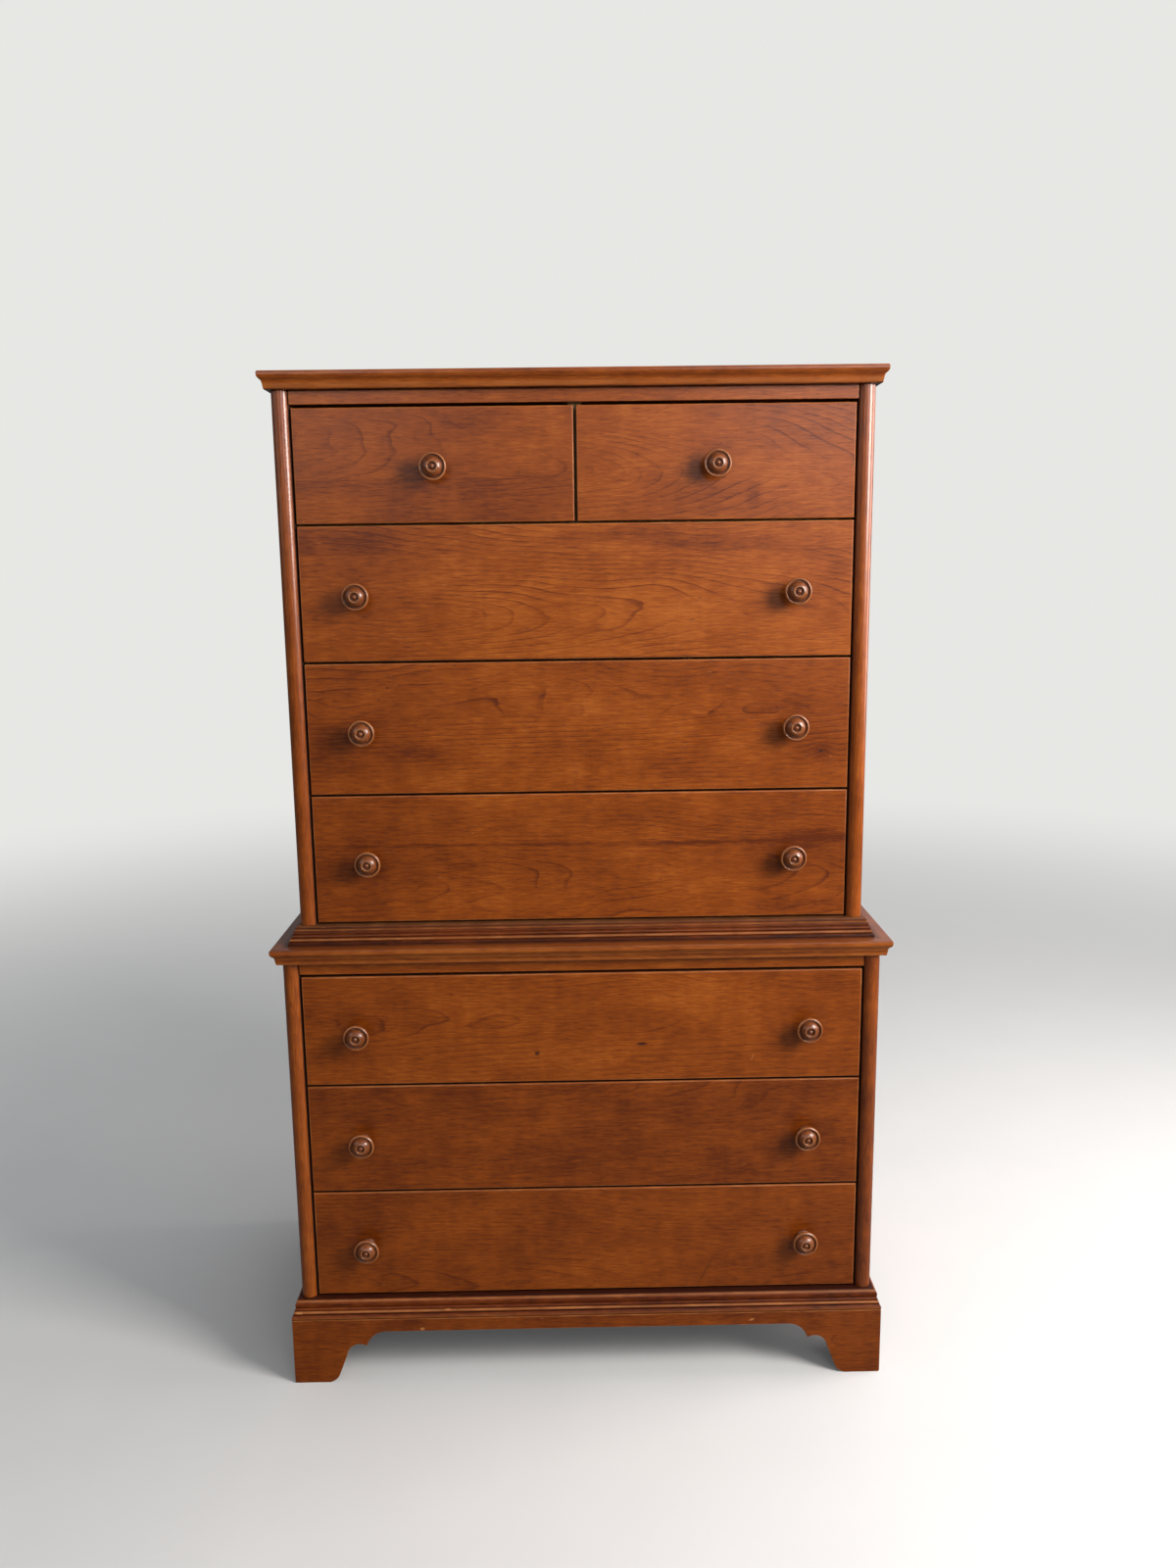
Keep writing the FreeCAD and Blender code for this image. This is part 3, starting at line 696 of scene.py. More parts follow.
class Bench:
    """Makes pieces from the frame's nodes and settles them on the bodies that carry them.

    The constants are the reach within which corners are one, the bend below which faces are one and above
    which an edge is sharp, how far below the top of a grooved piece dust and painted shade reach, and how
    squarely a face looks along an axis to count as flat.
    """

    WELD = 0.004 * MM
    FLAT = math.radians(0.6)
    SHARP = math.radians(34.0)
    DUST_AND_SHADE_DEPTH = 1.2 * MM
    SQUARE = 0.998

    def eased_copy(self, node: str, easing: float, round_is_arris: bool = False,
                   grooved: bool = False) -> bpy.types.Object:
        """A node's shape with its sharp outer edges eased.

        Args:
            node: the node to stand for.
            easing: width that is taken off an edge, or zero.
            round_is_arris: the node's rounded faces count as worn edges too.
            grooved: dirt and painted shade darken the inner corners and the top.

        Returns:
            The new piece. Its mesh says where the arrises and the inner corners are.
        """
        work = bmesh.new()
        work.from_mesh(frame["nodes"][node].data)
        bmesh.ops.remove_doubles(work, verts=work.verts, dist=self.WELD)
        bmesh.ops.dissolve_limit(work, angle_limit=self.FLAT, verts=work.verts, edges=work.edges)
        work.verts.layers.float.new("hollow_dirt_and_shade")
        arris = work.faces.layers.float.new("arris")
        bent = [e for e in work.edges if len(e.link_faces) == 2 and e.calc_face_angle() > self.SHARP]
        if grooved:
            self.mark_dirt_and_shade(work, [e for e in bent if not e.is_convex])
        if round_is_arris:
            for face in work.faces:
                face[arris] = float(max(abs(part) for part in face.normal) < self.SQUARE)
        if easing:
            made = bmesh.ops.bevel(work, geom=[e for e in bent if e.is_convex], offset=easing,
                                   offset_type="OFFSET", segments=2, profile=0.5, affect="EDGES",
                                   clamp_overlap=True)
            for face in made["faces"]:
                face[arris] = 1.0
        low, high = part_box(node)
        for corner in work.verts:
            corner.co = [min(max(part, least), most) for part, least, most in zip(corner.co, low, high)]
        return self.piece(node + "_wood", work)

    def mark_dirt_and_shade(self, work: bmesh.types.BMesh, hollows: Sequence[bmesh.types.BMEdge]) -> None:
        """Note dirt and painted shade along the hollows of a grooved piece and on its top."""
        hollow_dirt_and_shade = work.verts.layers.float["hollow_dirt_and_shade"]
        top = max(corner.co.z for corner in work.verts)
        # Dust and painted shade on the top, just under the drawers.
        dusty = [corner for corner in work.verts if corner.co.z > top - self.DUST_AND_SHADE_DEPTH]
        for corner in (*dusty, *(corner for edge in hollows for corner in edge.verts)):
            corner[hollow_dirt_and_shade] = 1.0

    def piece(self, name: str, work: bmesh.types.BMesh) -> bpy.types.Object:
        """Turn a finished bmesh into an object with smooth rounds and crisp corners."""
        mesh = bpy.data.meshes.new(name)
        work.to_mesh(mesh)
        work.free()
        if "custom_normal" in mesh.attributes:
            mesh.attributes.remove(mesh.attributes["custom_normal"])
        mesh.shade_smooth()
        mesh.set_sharp_from_angle(angle=self.SHARP)
        made = bpy.data.objects.new(name, mesh)
        bpy.context.scene.collection.objects.link(made)
        weighted = made.modifiers.new("flat_faces", "WEIGHTED_NORMAL")
        weighted.keep_sharp = True
        weighted.weight = 100
        return made

    def settle(self, made: bpy.types.Object, node: str, material: bpy.types.Material) -> None:
        """Put a piece in the place of a node, on its body, in its finish."""
        made.data.materials.clear()
        made.data.materials.append(material)
        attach(made, frame["nodes"][node]["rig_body"])
        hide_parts(node)
        LOG.info("%s stands for %s", made.name, node)

    def dress(self, node: str, material: bpy.types.Material) -> None:
        """Give a node that stays as it is a better finish."""
        kept = frame["nodes"][node]
        kept.material_slots[0].material = material
        LOG.info("%s keeps its shape", node)

    def wooden(self, node: str, wood: Wood, board: Board, easing: float,
               round_is_arris: bool = False, grooved: bool = False) -> None:
        """Ease a node and finish it in a wood."""
        made = self.eased_copy(node, easing, round_is_arris, grooved)
        self.settle(made, node, wood.material(made.name, board, middle_of(node)))

    def plain(self, node: str, wood: Wood, board: Board) -> None:
        """Keep a node's shape and finish it in a wood."""
        self.dress(node, wood.material(node + "_finish", board, middle_of(node)))


BENCH = Bench()


@dataclass
class Carcase:
    """One case: its top, rail, posts, sides, back and the frames that carry its drawers.

    Attributes:
        name: start of its nodes' names.
        seed: picks its stretch of the pattern.
        ledge_shade: share of the painted shade on the flat of its top.
        lines: rubbed and dirty lines along its top and rail.
        post_tones: how much lighter its left and right posts are.
        post_marks: marks on its posts, such as painted shade towards a post's foot.
        top_easing: taken off the edges of its top.
        post_easing: taken off the edges of its posts.
        panel_easing: taken off the edges of its rail and sides.
        back_easing: taken off the edges of its back.
        top_flat: depths below its top between which the flat of the board starts.
        nose: distances from its edges between which the painted shade on top thickens.
        post_shade_edge: distances from the drawers between which the painted shade on a post starts.
    """

    name: str
    seed: float
    ledge_shade: float = 0.0
    lines: tuple[PaintedLine, ...] = ()
    post_tones: tuple[float, float] = (0.0, 0.0)
    post_marks: tuple[Mark, ...] = ()
    top_easing: float = 0.8 * MM
    post_easing: float = 1.2 * MM
    panel_easing: float = 0.8 * MM
    back_easing: float = 0.4 * MM
    top_flat: Point = (2.8 * MM, 1.2 * MM)
    nose: Point = (11.0 * MM, 20.0 * MM)
    post_shade_edge: Point = (2.6 * MM, 1.2 * MM)

    def node(self, piece: str) -> str:
        """The full name of one of its nodes."""
        return f"{self.name}_{piece}"

    def build(self) -> None:
        """Make and finish every piece of the case."""
        self.build_top()
        for hand, side in enumerate(("left", "right")):
            self.build_side(hand, side)
        back = Board(Grain.POST, self.seed + 6, tilt=0.1)
        BENCH.wooden(self.node("back_panel"), PLYWOOD, back, self.back_easing)
        BENCH.plain(self.node("drawer_rails"), POPLAR, Board(Grain.FRONT, self.seed + 7))
        BENCH.plain(self.node("drawer_runners"), POPLAR, Board(Grain.RUNNER, self.seed + 8))

    def build_top(self) -> None:
        """The moulded top and the rail below it."""
        top = Board(Grain.TOP, self.seed, seams=(-0.11, 0.03, 0.14), tone=0.04, figure=0.5, lines=self.lines,
                    painted_shade=self.shade_behind_nose)
        BENCH.wooden(self.node("top"), TOP_CHERRY, top, self.top_easing)
        rail = Board(Grain.FRONT, self.seed + 1, tone=0.03, figure=0.2, lines=self.lines)
        BENCH.wooden(self.node("top_rail"), CHERRY, rail, self.panel_easing)

    def build_side(self, hand: int, side: str) -> None:
        """One post and the side panel behind it."""
        post = Board(Grain.POST, self.seed + 2 + hand, tilt=0.02, tone=self.post_tones[hand], figure=0.4,
                     marks=self.post_marks, painted_shade=self.shade_beside_drawers)
        BENCH.wooden(self.node(f"{side}_post"), POLISHED_CHERRY, post, self.post_easing)
        panel = Board(Grain.SIDE, self.seed + 4 + hand, seams=(-0.08, 0.06))
        BENCH.wooden(self.node(f"{side}_side"), CHERRY, panel, self.panel_easing)

    def shade_behind_nose(self, graph: Graph, place: Value) -> Value:
        """Painted shade on the flat of the top, and more of it far from the edges."""
        low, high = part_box(self.node("top"))
        x, y, z = graph.split(place)
        inward = (y - low.y).math("MINIMUM", high.x - abs(x))
        on_top = z.fade(*(high.z - depth for depth in self.top_flat))
        return (inward.fade(*self.nose) * 0.32 + 0.42) * on_top * self.ledge_shade

    def shade_beside_drawers(self, graph: Graph, place: Value) -> Value:
        """Painted shade on the side of a post that looks at the drawers."""
        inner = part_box(self.node("right_post"))[0].x
        return (abs(graph.split(place)[0]) - inner).fade(*self.post_shade_edge) * 0.88


@dataclass
class ReededFrame:
    """A mitred frame with reeded edges: the grain turns with each member."""

    node: str
    seed: float
    tone: float
    lines: tuple[PaintedLine, ...]
    marks: tuple[Mark, ...] = ()

    def build(self) -> None:
        """Make and finish the frame."""
        board = Board(Grain.RUNNER, self.seed, tone=self.tone, marks=self.marks, lines=self.lines,
                      across_share=self.along_front)
        # Dirt and painted shade in the grooves and along the top.
        BENCH.wooden(self.node, MOULDED_CHERRY, board, 0.0, grooved=True)

    def along_front(self, graph: Graph, place: Value) -> Value:
        """One on the member along the front."""
        low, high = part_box(self.node)
        x, y, _ = graph.split(place)
        return (high.x - abs(x)).above(y - low.y)


@dataclass
class Plinth:
    """The bracket plinth: three scrolled boards, a plain back board and the blocks behind its corners."""

    seed: float
    marks: tuple[Mark, ...] = ()
    tone: float = -0.26
    figure: float = 0.5
    easing: float = 1.4 * MM

    def build(self) -> None:
        """Make and finish the boards and the blocks."""
        front = Board(Grain.FRONT, self.seed, tone=self.tone, figure=self.figure, marks=self.marks)
        BENCH.wooden("plinth_front", CHERRY, front, self.easing)
        for hand, side in enumerate(("left", "right")):
            board = Board(Grain.RUNNER, self.seed + 1 + hand, tone=self.tone, figure=self.figure)
            BENCH.wooden(f"plinth_{side}", CHERRY, board, self.easing)
        BENCH.wooden("plinth_back", POPLAR, Board(Grain.FRONT, self.seed + 3), self.easing)
        BENCH.plain("plinth_corner_blocks", POPLAR, Board(Grain.POST, self.seed + 4))


@dataclass
class TurnedKnob:
    """A turned knob: foot, neck, rim, groove, domed face, cup and button; dirt and painted shade darken
    groove and cup.

    The constants are the share of the projection where the face starts, the dirt and painted shade behind it
    and the most of them on it, the middle and half width, as shares of the rim, of the dirty, shaded rings
    and of the rubbed rings, and the radius below which a ring is one point.
    """

    FACE = 0.6
    DIRT_AND_SHADE_BEHIND = 0.5
    DIRT_AND_SHADE_ON_FACE = 0.75
    DIRTY_SHADED_RINGS = ((0.775, 0.07), (0.25, 0.07))
    RUBBED_RINGS = ((0.92, 0.09), (0.36, 0.06))
    TIP = 0.001 * MM

    rim: float
    projection: float
    tenon_length: float = 12.0 * MM
    tenon: float = 5.0 * MM
    foot: float = 11.5 * MM
    neck: float = 7.5 * MM
    spokes: int = 72
    arc_steps: int = 9

    def profile(self) -> list[Point]:
        """Radius and height from the foot of the tenon to the tip."""
        def at(share: float, height: float) -> Point:
            """A point as shares of rim and projection."""
            return share * self.rim, height * self.projection

        def on_neck(share: float, reach: float, height: float) -> Point:
            """A point some share of the way out from the neck."""
            return self.neck + share * (reach - self.neck), height * self.projection

        bends = [
            (on_neck(0.25, self.foot, 0.16), on_neck(0.0, self.foot, 0.32)),
            (on_neck(0.33, 0.88 * self.rim, 0.46), at(0.88, 0.55)),
            (at(0.999, 0.66), at(0.925, 0.765)),
            (at(0.885, 0.77), at(0.845, 0.735)),
            (at(0.775, 0.67), at(0.7, 0.73)),
            (at(0.56, 0.9), at(0.4, 0.972)),
            (at(0.355, 0.98), at(0.315, 0.94)),
            (at(0.255, 0.86), at(0.175, 0.885)),
            (at(0.09, 0.983), at(0.0, 1.0)),
        ]
        points = [(0.0, -self.tenon_length), (self.tenon, -self.tenon_length), (self.tenon, 0.0),
                  (self.foot, 0.0), (self.foot, 0.06 * self.projection)]
        for via, end in bends:
            points += arc(points[-1], via, end, self.arc_steps)
        return points

    @staticmethod
    def on_rings(share: float, rings: Sequence[Point]) -> float:
        """How near a share of the rim is to the middle of a ring: one in the middle."""
        return max(max(0.0, 1.0 - abs(share - middle) / half) for middle, half in rings)

    def dirt_and_shade(self, share: float, height: float) -> float:
        """How much dirt and painted shade darken a place at a share of the rim and of the projection."""
        if height < self.FACE:
            return self.DIRT_AND_SHADE_BEHIND
        return self.DIRT_AND_SHADE_ON_FACE * self.on_rings(share, self.DIRTY_SHADED_RINGS)

    def rub(self, share: float, height: float) -> float:
        """How much the lip of the rim and the crest round the cup are rubbed."""
        return 0.0 if height < self.FACE else self.on_rings(share, self.RUBBED_RINGS)

    def turn(self, work: bmesh.types.BMesh, x: float, y: float, z: float) -> None:
        """Turn the profile about an axis that runs out of the front at a place."""
        layers = work.verts.layers.float
        hollow_dirt_and_shade = layers.get("hollow_dirt_and_shade") or layers.new("hollow_dirt_and_shade")
        arris = layers.get("arris") or layers.new("arris")
        angles = [math.tau * spoke / self.spokes for spoke in range(self.spokes)]
        rings = []
        for radius, height in self.profile():
            ring = [work.verts.new((x + radius * math.cos(a), y - height, z + radius * math.sin(a)))
                    for a in (angles if radius > self.TIP else angles[:1])]
            # Dirt and painted shade in the groove, the cup and behind the face; rubbed rims.
            for corner in ring:
                corner[hollow_dirt_and_shade] = self.dirt_and_shade(radius / self.rim, height / self.projection)
                corner[arris] = self.rub(radius / self.rim, height / self.projection)
            rings.append(ring)
        for inner, outer in zip(rings, rings[1:]):
            for s in range(self.spokes):
                t = (s + 1) % self.spokes
                corners = [inner[s % len(inner)], outer[s % len(outer)],
                           outer[t % len(outer)], inner[t % len(inner)]]
                work.faces.new(list(dict.fromkeys(corners)))
        bmesh.ops.recalc_face_normals(work, faces=work.faces)


@dataclass
class Drawer:
    """One drawer: the cut of its front, and a box, a bottom and knobs that follow its nodes.

    Most fields say what they say on a board. Its wall is the thickness of the sides of the box, and its bare
    depth the distance behind the middle of the front from which the wood has no finish. The last two are
    the depths behind the face between which the painted shade on the edges of the front, in the gaps, starts,
    and thins out.
    """

    name: str
    seed: float
    pith_side: float
    pith_depth: float
    tilt: float
    seams: tuple[float, ...] = ()
    tone: float = 0.0
    figure: float = 1.0
    marks: tuple[Mark, ...] = ()
    hands: float = 0.13
    wall: float = 12.0 * MM
    bare_depth: float = 8.5 * MM
    gap_shade_start: Point = (1.4 * MM, 3.4 * MM)
    gap_shade_end: Point = (11.0 * MM, 6.0 * MM)

    def node(self, piece: str) -> str:
        """The full name of one of its nodes."""
        return f"{self.name}_{piece}"

    def face(self) -> float:
        """Where the face of the front lies."""
        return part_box(self.node("front"))[0].y

    def knob_places(self) -> list[Point]:
        """Middle of each knob, across and up the front."""
        low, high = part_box(self.node("knobs"))
        rim = (high.z - low.z) / 2
        level = (high.z + low.z) / 2
        places = [(low.x + rim, level), (high.x - rim, level)]
        return places if high.x - low.x > 4 * rim else places[:1]

    def build(self) -> None:
        """Make and finish the drawer's pieces."""
        self.build_front()
        self.build_box()
        self.build_knobs()

    def build_front(self) -> None:
        """The front, with rubbed edges, grime round the knobs, painted shade on its edges in the gaps and a
        bare back.
        """
        node = self.node("front")
        offset = max(abs(x - middle_of(node).x) for x, _ in self.knob_places())
        board = Board(Grain.FRONT, self.seed, self.pith_depth, self.pith_side, self.tilt, self.seams,
                      self.tone, self.figure, self.marks, knobs=offset, hands=self.hands, painted_shade=self.shade_in_gaps,
                      bare_from=self.bare_depth)
        BENCH.wooden(node, CHERRY, board, 0.0, round_is_arris=True)

    def shade_in_gaps(self, graph: Graph, place: Value) -> Value:
        """Painted shade on the edges of the front, behind its face, in the gaps."""
        depth = graph.split(place)[1] - self.face()
        return depth.fade(*self.gap_shade_start) * (depth.fade(*self.gap_shade_end) * 0.6 + 0.32)

    def build_box(self) -> None:
        """The dovetailed box and its bottom panel."""
        box = Board(Grain.RUNNER, self.seed + 40, across_share=self.along_back)
        BENCH.plain(self.node("box"), MAPLE, box)
        bottom = Board(Grain.TOP, self.seed + 50, tilt=0.1)
        BENCH.plain(self.node("bottom"), PLYWOOD, bottom)

    def along_back(self, graph: Graph, place: Value) -> Value:
        """One on the back of the box."""
        low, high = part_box(self.node("box"))
        aside = abs(graph.split(place)[0] - (low.x + high.x) / 2)
        return aside.below((high.x - low.x) / 2 - self.wall)

    def build_knobs(self) -> None:
        """The knobs, turned afresh with finer rings."""
        node = self.node("knobs")
        low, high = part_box(node)
        knob = TurnedKnob((high.z - low.z) / 2, self.face() - low.y)
        work = bmesh.new()
        for x, z in self.knob_places():
            knob.turn(work, x, self.face(), z)
        made = BENCH.piece(self.node("turned_knobs"), work)
        board = Board(Grain.RUNNER, self.seed + 60, tilt=0.02)
        BENCH.settle(made, node, TURNED_CHERRY.material(made.name, board, middle_of(node)))


@dataclass(frozen=True)
class SoftLight:
    """One large soft lamp."""

    name: str
    place: tuple[float, float, float]
    aim: tuple[float, float, float]
    width: float
    height: float
    power: float
    colour: Colour

    def hang(self) -> None:
        """Put the lamp up."""
        lamp = bpy.data.lights.new(self.name, "AREA")
        lamp.shape = "RECTANGLE"
        lamp.size, lamp.size_y = self.width, self.height
        lamp.energy = self.power
        lamp.color = self.colour
        made = bpy.data.objects.new(self.name, lamp)
        made.location = self.place
        made.visible_camera = False
        made.rotation_euler = (Vector(self.aim) - Vector(self.place)).to_track_quat("-Z", "Y").to_euler()
        bpy.context.scene.collection.objects.link(made)


@dataclass
class Studio:
    """Floor, light and the camera at the photograph's angle.

    Attributes:
        floor_reach: radius of the floor.
        floor_colour: as the camera sees it.
        floor_bounce: as the chest sees it.
        haze: where the floor starts to fade into the backdrop, and where it is gone.
        backdrop: colour behind the chest.
        sky: colour of the soft light.
        sky_level: its strength above the horizon.
        ground_level: its strength below the horizon.
        ceiling_share: how much of it comes from overhead.
        left_share: how much of it comes from the left.
        camera_place: where the camera stands.
        yaw: its turn to the right, in degrees.
        pitch: its tip downwards, in degrees.
        roll: its roll, in degrees.
        lens: its focal length in millimetres.
        sensor: the width of its picture in millimetres.
        lamps: the soft lamps round the chest.
    """

    floor_reach: float = 30.0
    floor_colour: Colour = (0.74, 0.74, 0.73)
    floor_bounce: Colour = (0.15, 0.15, 0.145)
    haze: tuple[float, float] = (1.2, 5.0)
    backdrop: Colour = (0.80, 0.80, 0.78)
    sky: Colour = (0.95, 0.97, 1.0)
    sky_level: float = 1.1
    ground_level: float = 0.06
    ceiling_share: float = 0.35
    left_share: float = 0.3
    camera_place: tuple[float, float, float] = (-0.0064, -1.9058, 1.2429)
    yaw: float = 0.6235
    pitch: float = 10.123
    roll: float = 0.7352
    lens: float = 27.254
    sensor: float = 36.0
    lamps: tuple[SoftLight, ...] = (
        SoftLight("window", (1.95, -1.4, 1.9), (0.0, -0.2, 1.3), 0.9, 1.2, 80.0, (1.0, 0.96, 0.92)),
        SoftLight("side_window", (2.3, 0.1, 1.6), (0.0, 0.0, 0.95), 0.9, 1.7, 30.0, (1.0, 0.95, 0.94)),
        SoftLight("far_window", (1.4, -4.3, 2.15), (0.1, -0.2, 1.4), 1.3, 0.7, 18.0, (0.88, 0.94, 1.0)),
        SoftLight("far_wall", (-1.3, -4.3, 2.2), (0.0, -0.2, 1.4), 1.1, 0.8, 10.0, (0.88, 0.94, 1.0)),
        SoftLight("far_side", (-2.4, -1.2, 2.1), (0.0, 0.0, 0.9), 1.6, 1.8, 6.0, (0.95, 0.97, 1.0)),
    )

    def build(self) -> None:
        """Lay the floor, light it and set up the camera."""
        self.lay_floor()
        self.light()
        self.set_camera()
        bpy.context.scene.view_settings.view_transform = "Standard"

    def lay_floor(self) -> None:
        """A plain pale floor that fades into the backdrop far off."""
        work = bmesh.new()
        bmesh.ops.create_circle(work, cap_ends=True, segments=96, radius=self.floor_reach)
        mesh = bpy.data.meshes.new("floor")
        work.to_mesh(mesh)
        work.free()
        floor = bpy.data.objects.new("floor", mesh)
        bpy.context.scene.collection.objects.link(floor)
        material = bpy.data.materials.new("floor")
        material.use_nodes = True
        self.paint_floor(Graph(material.node_tree))
        mesh.materials.append(material)

    def paint_floor(self, graph: Graph) -> None:
        """The floor's finish, which throws little light back at the chest."""
        place = graph.place()
        reach = graph.make("ShaderNodeVectorMath", {"operation": "LENGTH"}, {0: place}, "Value")
        dusty = graph.noise(place, (7.0, 7.0, 7.0), 1.0, 4.0)
        seen = graph.camera_ray()
        pale = graph.mix(dusty, tuple(0.95 * part for part in self.floor_colour), self.floor_colour)
        colour = graph.mix(seen, self.floor_bounce, pale)
        ground = graph.make("ShaderNodeBsdfPrincipled", None, {
            "Base Color": colour, "Roughness": dusty * 0.2 + 0.6, "Specular IOR Level": 0.2})
        glow = graph.make("ShaderNodeEmission", None, {"Color": (*self.backdrop, 1.0)})
        far = reach.fade(*self.haze) * seen
        both = graph.make("ShaderNodeMixShader", None, {0: far, 1: ground, 2: glow})
        graph.make("ShaderNodeOutputMaterial", None, {"Surface": both})

    def light(self) -> None:
        """Soft light from all round, weaker from the left and from overhead, and the lamps."""
        world = bpy.data.worlds.new("studio")
        world.use_nodes = True
        bpy.context.scene.world = world
        graph = Graph(world.node_tree)
        across, _, height = graph.split(graph.make("ShaderNodeTexCoord", None, None, "Generated"))
        level = graph.blend(height.fade(0.04, 0.28), self.ground_level, self.sky_level)
        level = level * graph.blend(height.fade(0.4, 0.9), 1.0, self.ceiling_share)
        level = level * graph.blend(across.fade(-0.4, 0.5), self.left_share, 1.0)
        glow = graph.make("ShaderNodeBackground", None, {"Color": (*self.sky, 1.0), "Strength": level})
        shown = graph.make("ShaderNodeBackground", None, {"Color": (*self.backdrop, 1.0)})
        both = graph.make("ShaderNodeMixShader", None, {0: graph.camera_ray(), 1: glow, 2: shown})
        graph.make("ShaderNodeOutputWorld", None, {"Surface": both})
        for lamp in self.lamps:
            lamp.hang()

    def set_camera(self) -> None:
        """The camera, turned, tipped and rolled as the photograph's was."""
        yaw, pitch, roll = (math.radians(turn) for turn in (self.yaw, self.pitch, self.roll))
        ahead = Vector((math.sin(yaw) * math.cos(pitch), math.cos(yaw) * math.cos(pitch), -math.sin(pitch)))
        level = Vector((math.cos(yaw), -math.sin(yaw), 0.0))
        down = ahead.cross(level)
        right = level * math.cos(roll) + down * math.sin(roll)
        up = level * math.sin(roll) - down * math.cos(roll)
        data = bpy.data.cameras.new("camera")
        data.sensor_width = self.sensor
        data.lens = self.lens
        camera = bpy.data.objects.new("camera", data)
        turned = Matrix((right, up, -ahead)).transposed().to_4x4()
        turned.translation = self.camera_place
        camera.matrix_world = turned
        bpy.context.scene.collection.objects.link(camera)
        bpy.context.scene.camera = camera


def clear_start_scene() -> None:
    """Remove what a new file holds, so that only the frame is left."""
    kept = {*frame["nodes"].values(), *frame["bodies"].values()}
    for thing in list(bpy.data.objects):
        if thing not in kept:
            bpy.data.objects.remove(thing)


# Painted highlights (share above 0) and painted shade (share below 0) along the mouldings, with some rub and
# dirt; the last cornice line is a painted shadow under the lip.
CORNICE_SHINE_AND_SHADE = lines((1513.5, 6.0, -0.16), (1499.5, 5.0, 0.3), (1494.5, 2.6, -0.85))
LEDGE_SHINE_AND_SHADE = lines((698.5, 2.2, 0.12), (692.2, 2.6, 0.3), (686.6, 2.6, -0.62), (681.6, 2.2, 0.14))
WAIST_SHINE_AND_SHADE = lines((729.7, 1.7, 0.28), (727.2, 1.2, -0.4), (725.0, 1.7, 0.46), (720.4, 1.2, 0.16),
                    (716.6, 1.2, 0.16), (711.6, 2.2, 0.56), (706.2, 2.8, -0.8))
BASE_SHINE_AND_SHADE = lines((134.6, 2.0, 0.44), (121.2, 1.6, -0.3), (118.3, 2.1, 0.62), (115.0, 2.0, -0.75),
                   (109.8, 2.4, 0.3))

# Painted shade: the lower right post grows darker towards its foot.
SHADED_FOOT = marks(Flaw.STAIN, (445, 230, 90, 260, 0.2))
BASE_MARKS = (
    *marks(Flaw.DENT, (-379, 129, 19.0, 1.3), (-162.6, 126.5, 7.0, 1.2), (141, 129, 15.0, 1.1),
           (407, 129, 4.0, 1.3)),
    *marks(Flaw.SCRATCH, (-215.9, 119.3, 5.0, 1.6), (-446, 117.6, 7.0, 2.0)))
PLINTH_MARKS = (
    *marks(Flaw.SCRATCH, (-255.9, 89.3, 4.0, 3.0), (256, 94.8, 5.0, 2.0, 0.8, 20.0)),
    *marks(Flaw.STAIN, (-410, 45, 70, 50, -0.14)))

RED_STREAK = marks(Flaw.STAIN, (250, 1343, 10, 22, 0.2), (300, 1330, 40, 8, 0.1))
# The long thin mark at 1120.4 is painted shade along the bottom edge of the front; the rest are stains and
# dents.
MOTTLED = (
    *marks(Flaw.STAIN, (-357, 1280, 95, 28, 0.14), (72, 1294, 75, 10, 0.24), (148, 1280, 55, 6, 0.22),
           (218, 1284, 60, 10, 0.2), (365, 1230, 40, 60, 0.14), (-10, 1290, 30, 10, 0.2),
           (0, 1120.4, 440, 1.8, 0.7)),
    *marks(Flaw.DENT, (175, 1204.7, 4.0, 1.1, 0.5, 15.0), (164.6, 1174.3, 5.0, 1.3, 0.4, 20.0)))
KNOTTY = (
    *marks(Flaw.KNOT, (-275.1, 1082.1, 2.2, 1.6), (-288.4, 1065.4, 1.6, 1.4), (353.3, 981.6, 3.4, 2.8)),
    *marks(Flaw.STAIN, (353, 980, 22, 12, 0.2), (152, 958, 58, 22, 0.2), (-237, 987, 40, 13, 0.22),
           (-380, 985, 40, 40, 0.14), (205, 1015, 120, 60, -0.17)))
DARK_END = marks(
    Flaw.STAIN, (-100, 848, 330, 2.6, 0.3), (200, 847, 150, 4, 0.26, 1.5), (350, 850, 85, 13, 0.28, 3.0),
    (322, 751, 60, 11, 0.24), (40, 796, 75, 18, 0.1), (385, 800, 25, 60, 0.12))
DENTED = (
    *marks(Flaw.DENT, (-69.9, 530.9, 4.6, 3.8), (88, 543.6, 9.0, 2.6, 0.95)),
    *marks(Flaw.SCRATCH, (255, 520, 7.0, 0.7, 0.55, 65.0)),
    *marks(Flaw.STAIN, (240, 590, 140, 60, -0.05)))
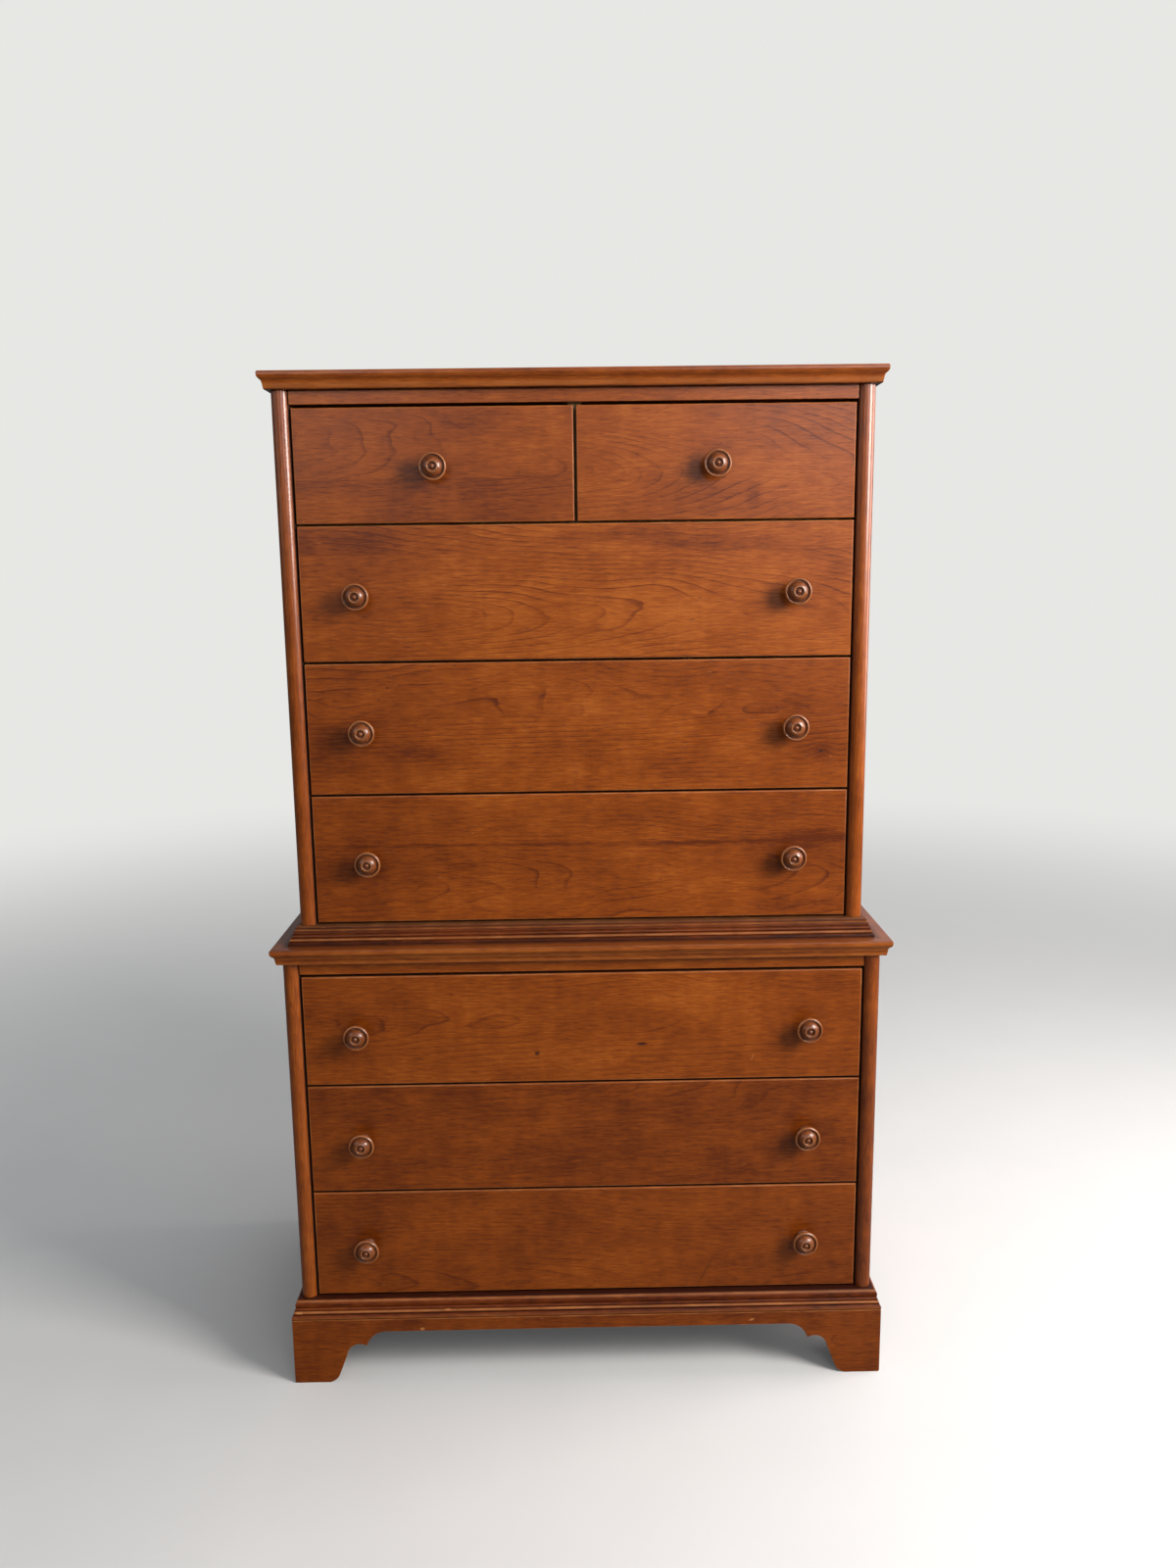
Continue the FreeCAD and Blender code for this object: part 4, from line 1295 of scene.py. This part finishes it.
SCORED = marks(Flaw.DENT, (185, 167, 28.0, 0.7, 0.8, 62.0))


def case_parts() -> list[Carcase | ReededFrame | Plinth]:
    """The two cases, the reeded frames under them and the plinth, with the wear of each."""
    return [
        Carcase("upper", 101.0, lines=CORNICE_SHINE_AND_SHADE),
        Carcase("lower", 121.0, 1.0, LEDGE_SHINE_AND_SHADE, (0.0, -0.14), SHADED_FOOT),
        ReededFrame("waist_moulding", 141.0, -0.2, WAIST_SHINE_AND_SHADE),
        ReededFrame("base_moulding", 143.0, 0.0, BASE_SHINE_AND_SHADE, BASE_MARKS),
        Plinth(151.0, PLINTH_MARKS),
    ]


def chest_drawers() -> list[Drawer]:
    """Every drawer with the cut of its front."""
    return [
        Drawer("top_left_drawer", 3.0, 0.06, 0.05, 0.12, (-0.0195,), tone=-0.1, figure=0.6, hands=0.03),
        Drawer("top_right_drawer", 5.0, -0.008, 0.07, 0.26, (), 0.02, 0.95, RED_STREAK, hands=0.03),
        Drawer("upper_drawer_1", 8.0, -0.035, 0.045, 0.12, (0.0555,), 0.06, 1.3, MOTTLED),
        Drawer("upper_drawer_2", 13.4, 0.06, 0.05, 0.05, (0.0155,), -0.05, 1.05, KNOTTY),
        Drawer("upper_drawer_3", 17.0, -0.05, 0.06, 0.1, (), -0.01, 0.8, DARK_END),
        Drawer("lower_drawer_1", 21.0, 0.01, 0.05, 0.05, (), -0.01, 0.8, DENTED, hands=0.08),
        Drawer("lower_drawer_2", 26.0, 0.09, 0.07, 0.06, (), -0.19, 0.45, hands=0.08),
        Drawer("lower_drawer_3", 30.0, -0.07, 0.05, 0.08, (), -0.11, 0.6, SCORED, hands=0.08),
    ]


def main() -> None:
    """Build every piece in order."""
    logging.basicConfig(level=logging.INFO, format="%(name)s: %(message)s")
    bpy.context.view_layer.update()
    clear_start_scene()
    for part in (*case_parts(), *chest_drawers()):
        part.build()
    BENCH.plain("upper_centre_divider", POPLAR, Board(Grain.RUNNER, 161.0))
    Studio().build()


if __name__ == "__main__":
    main()
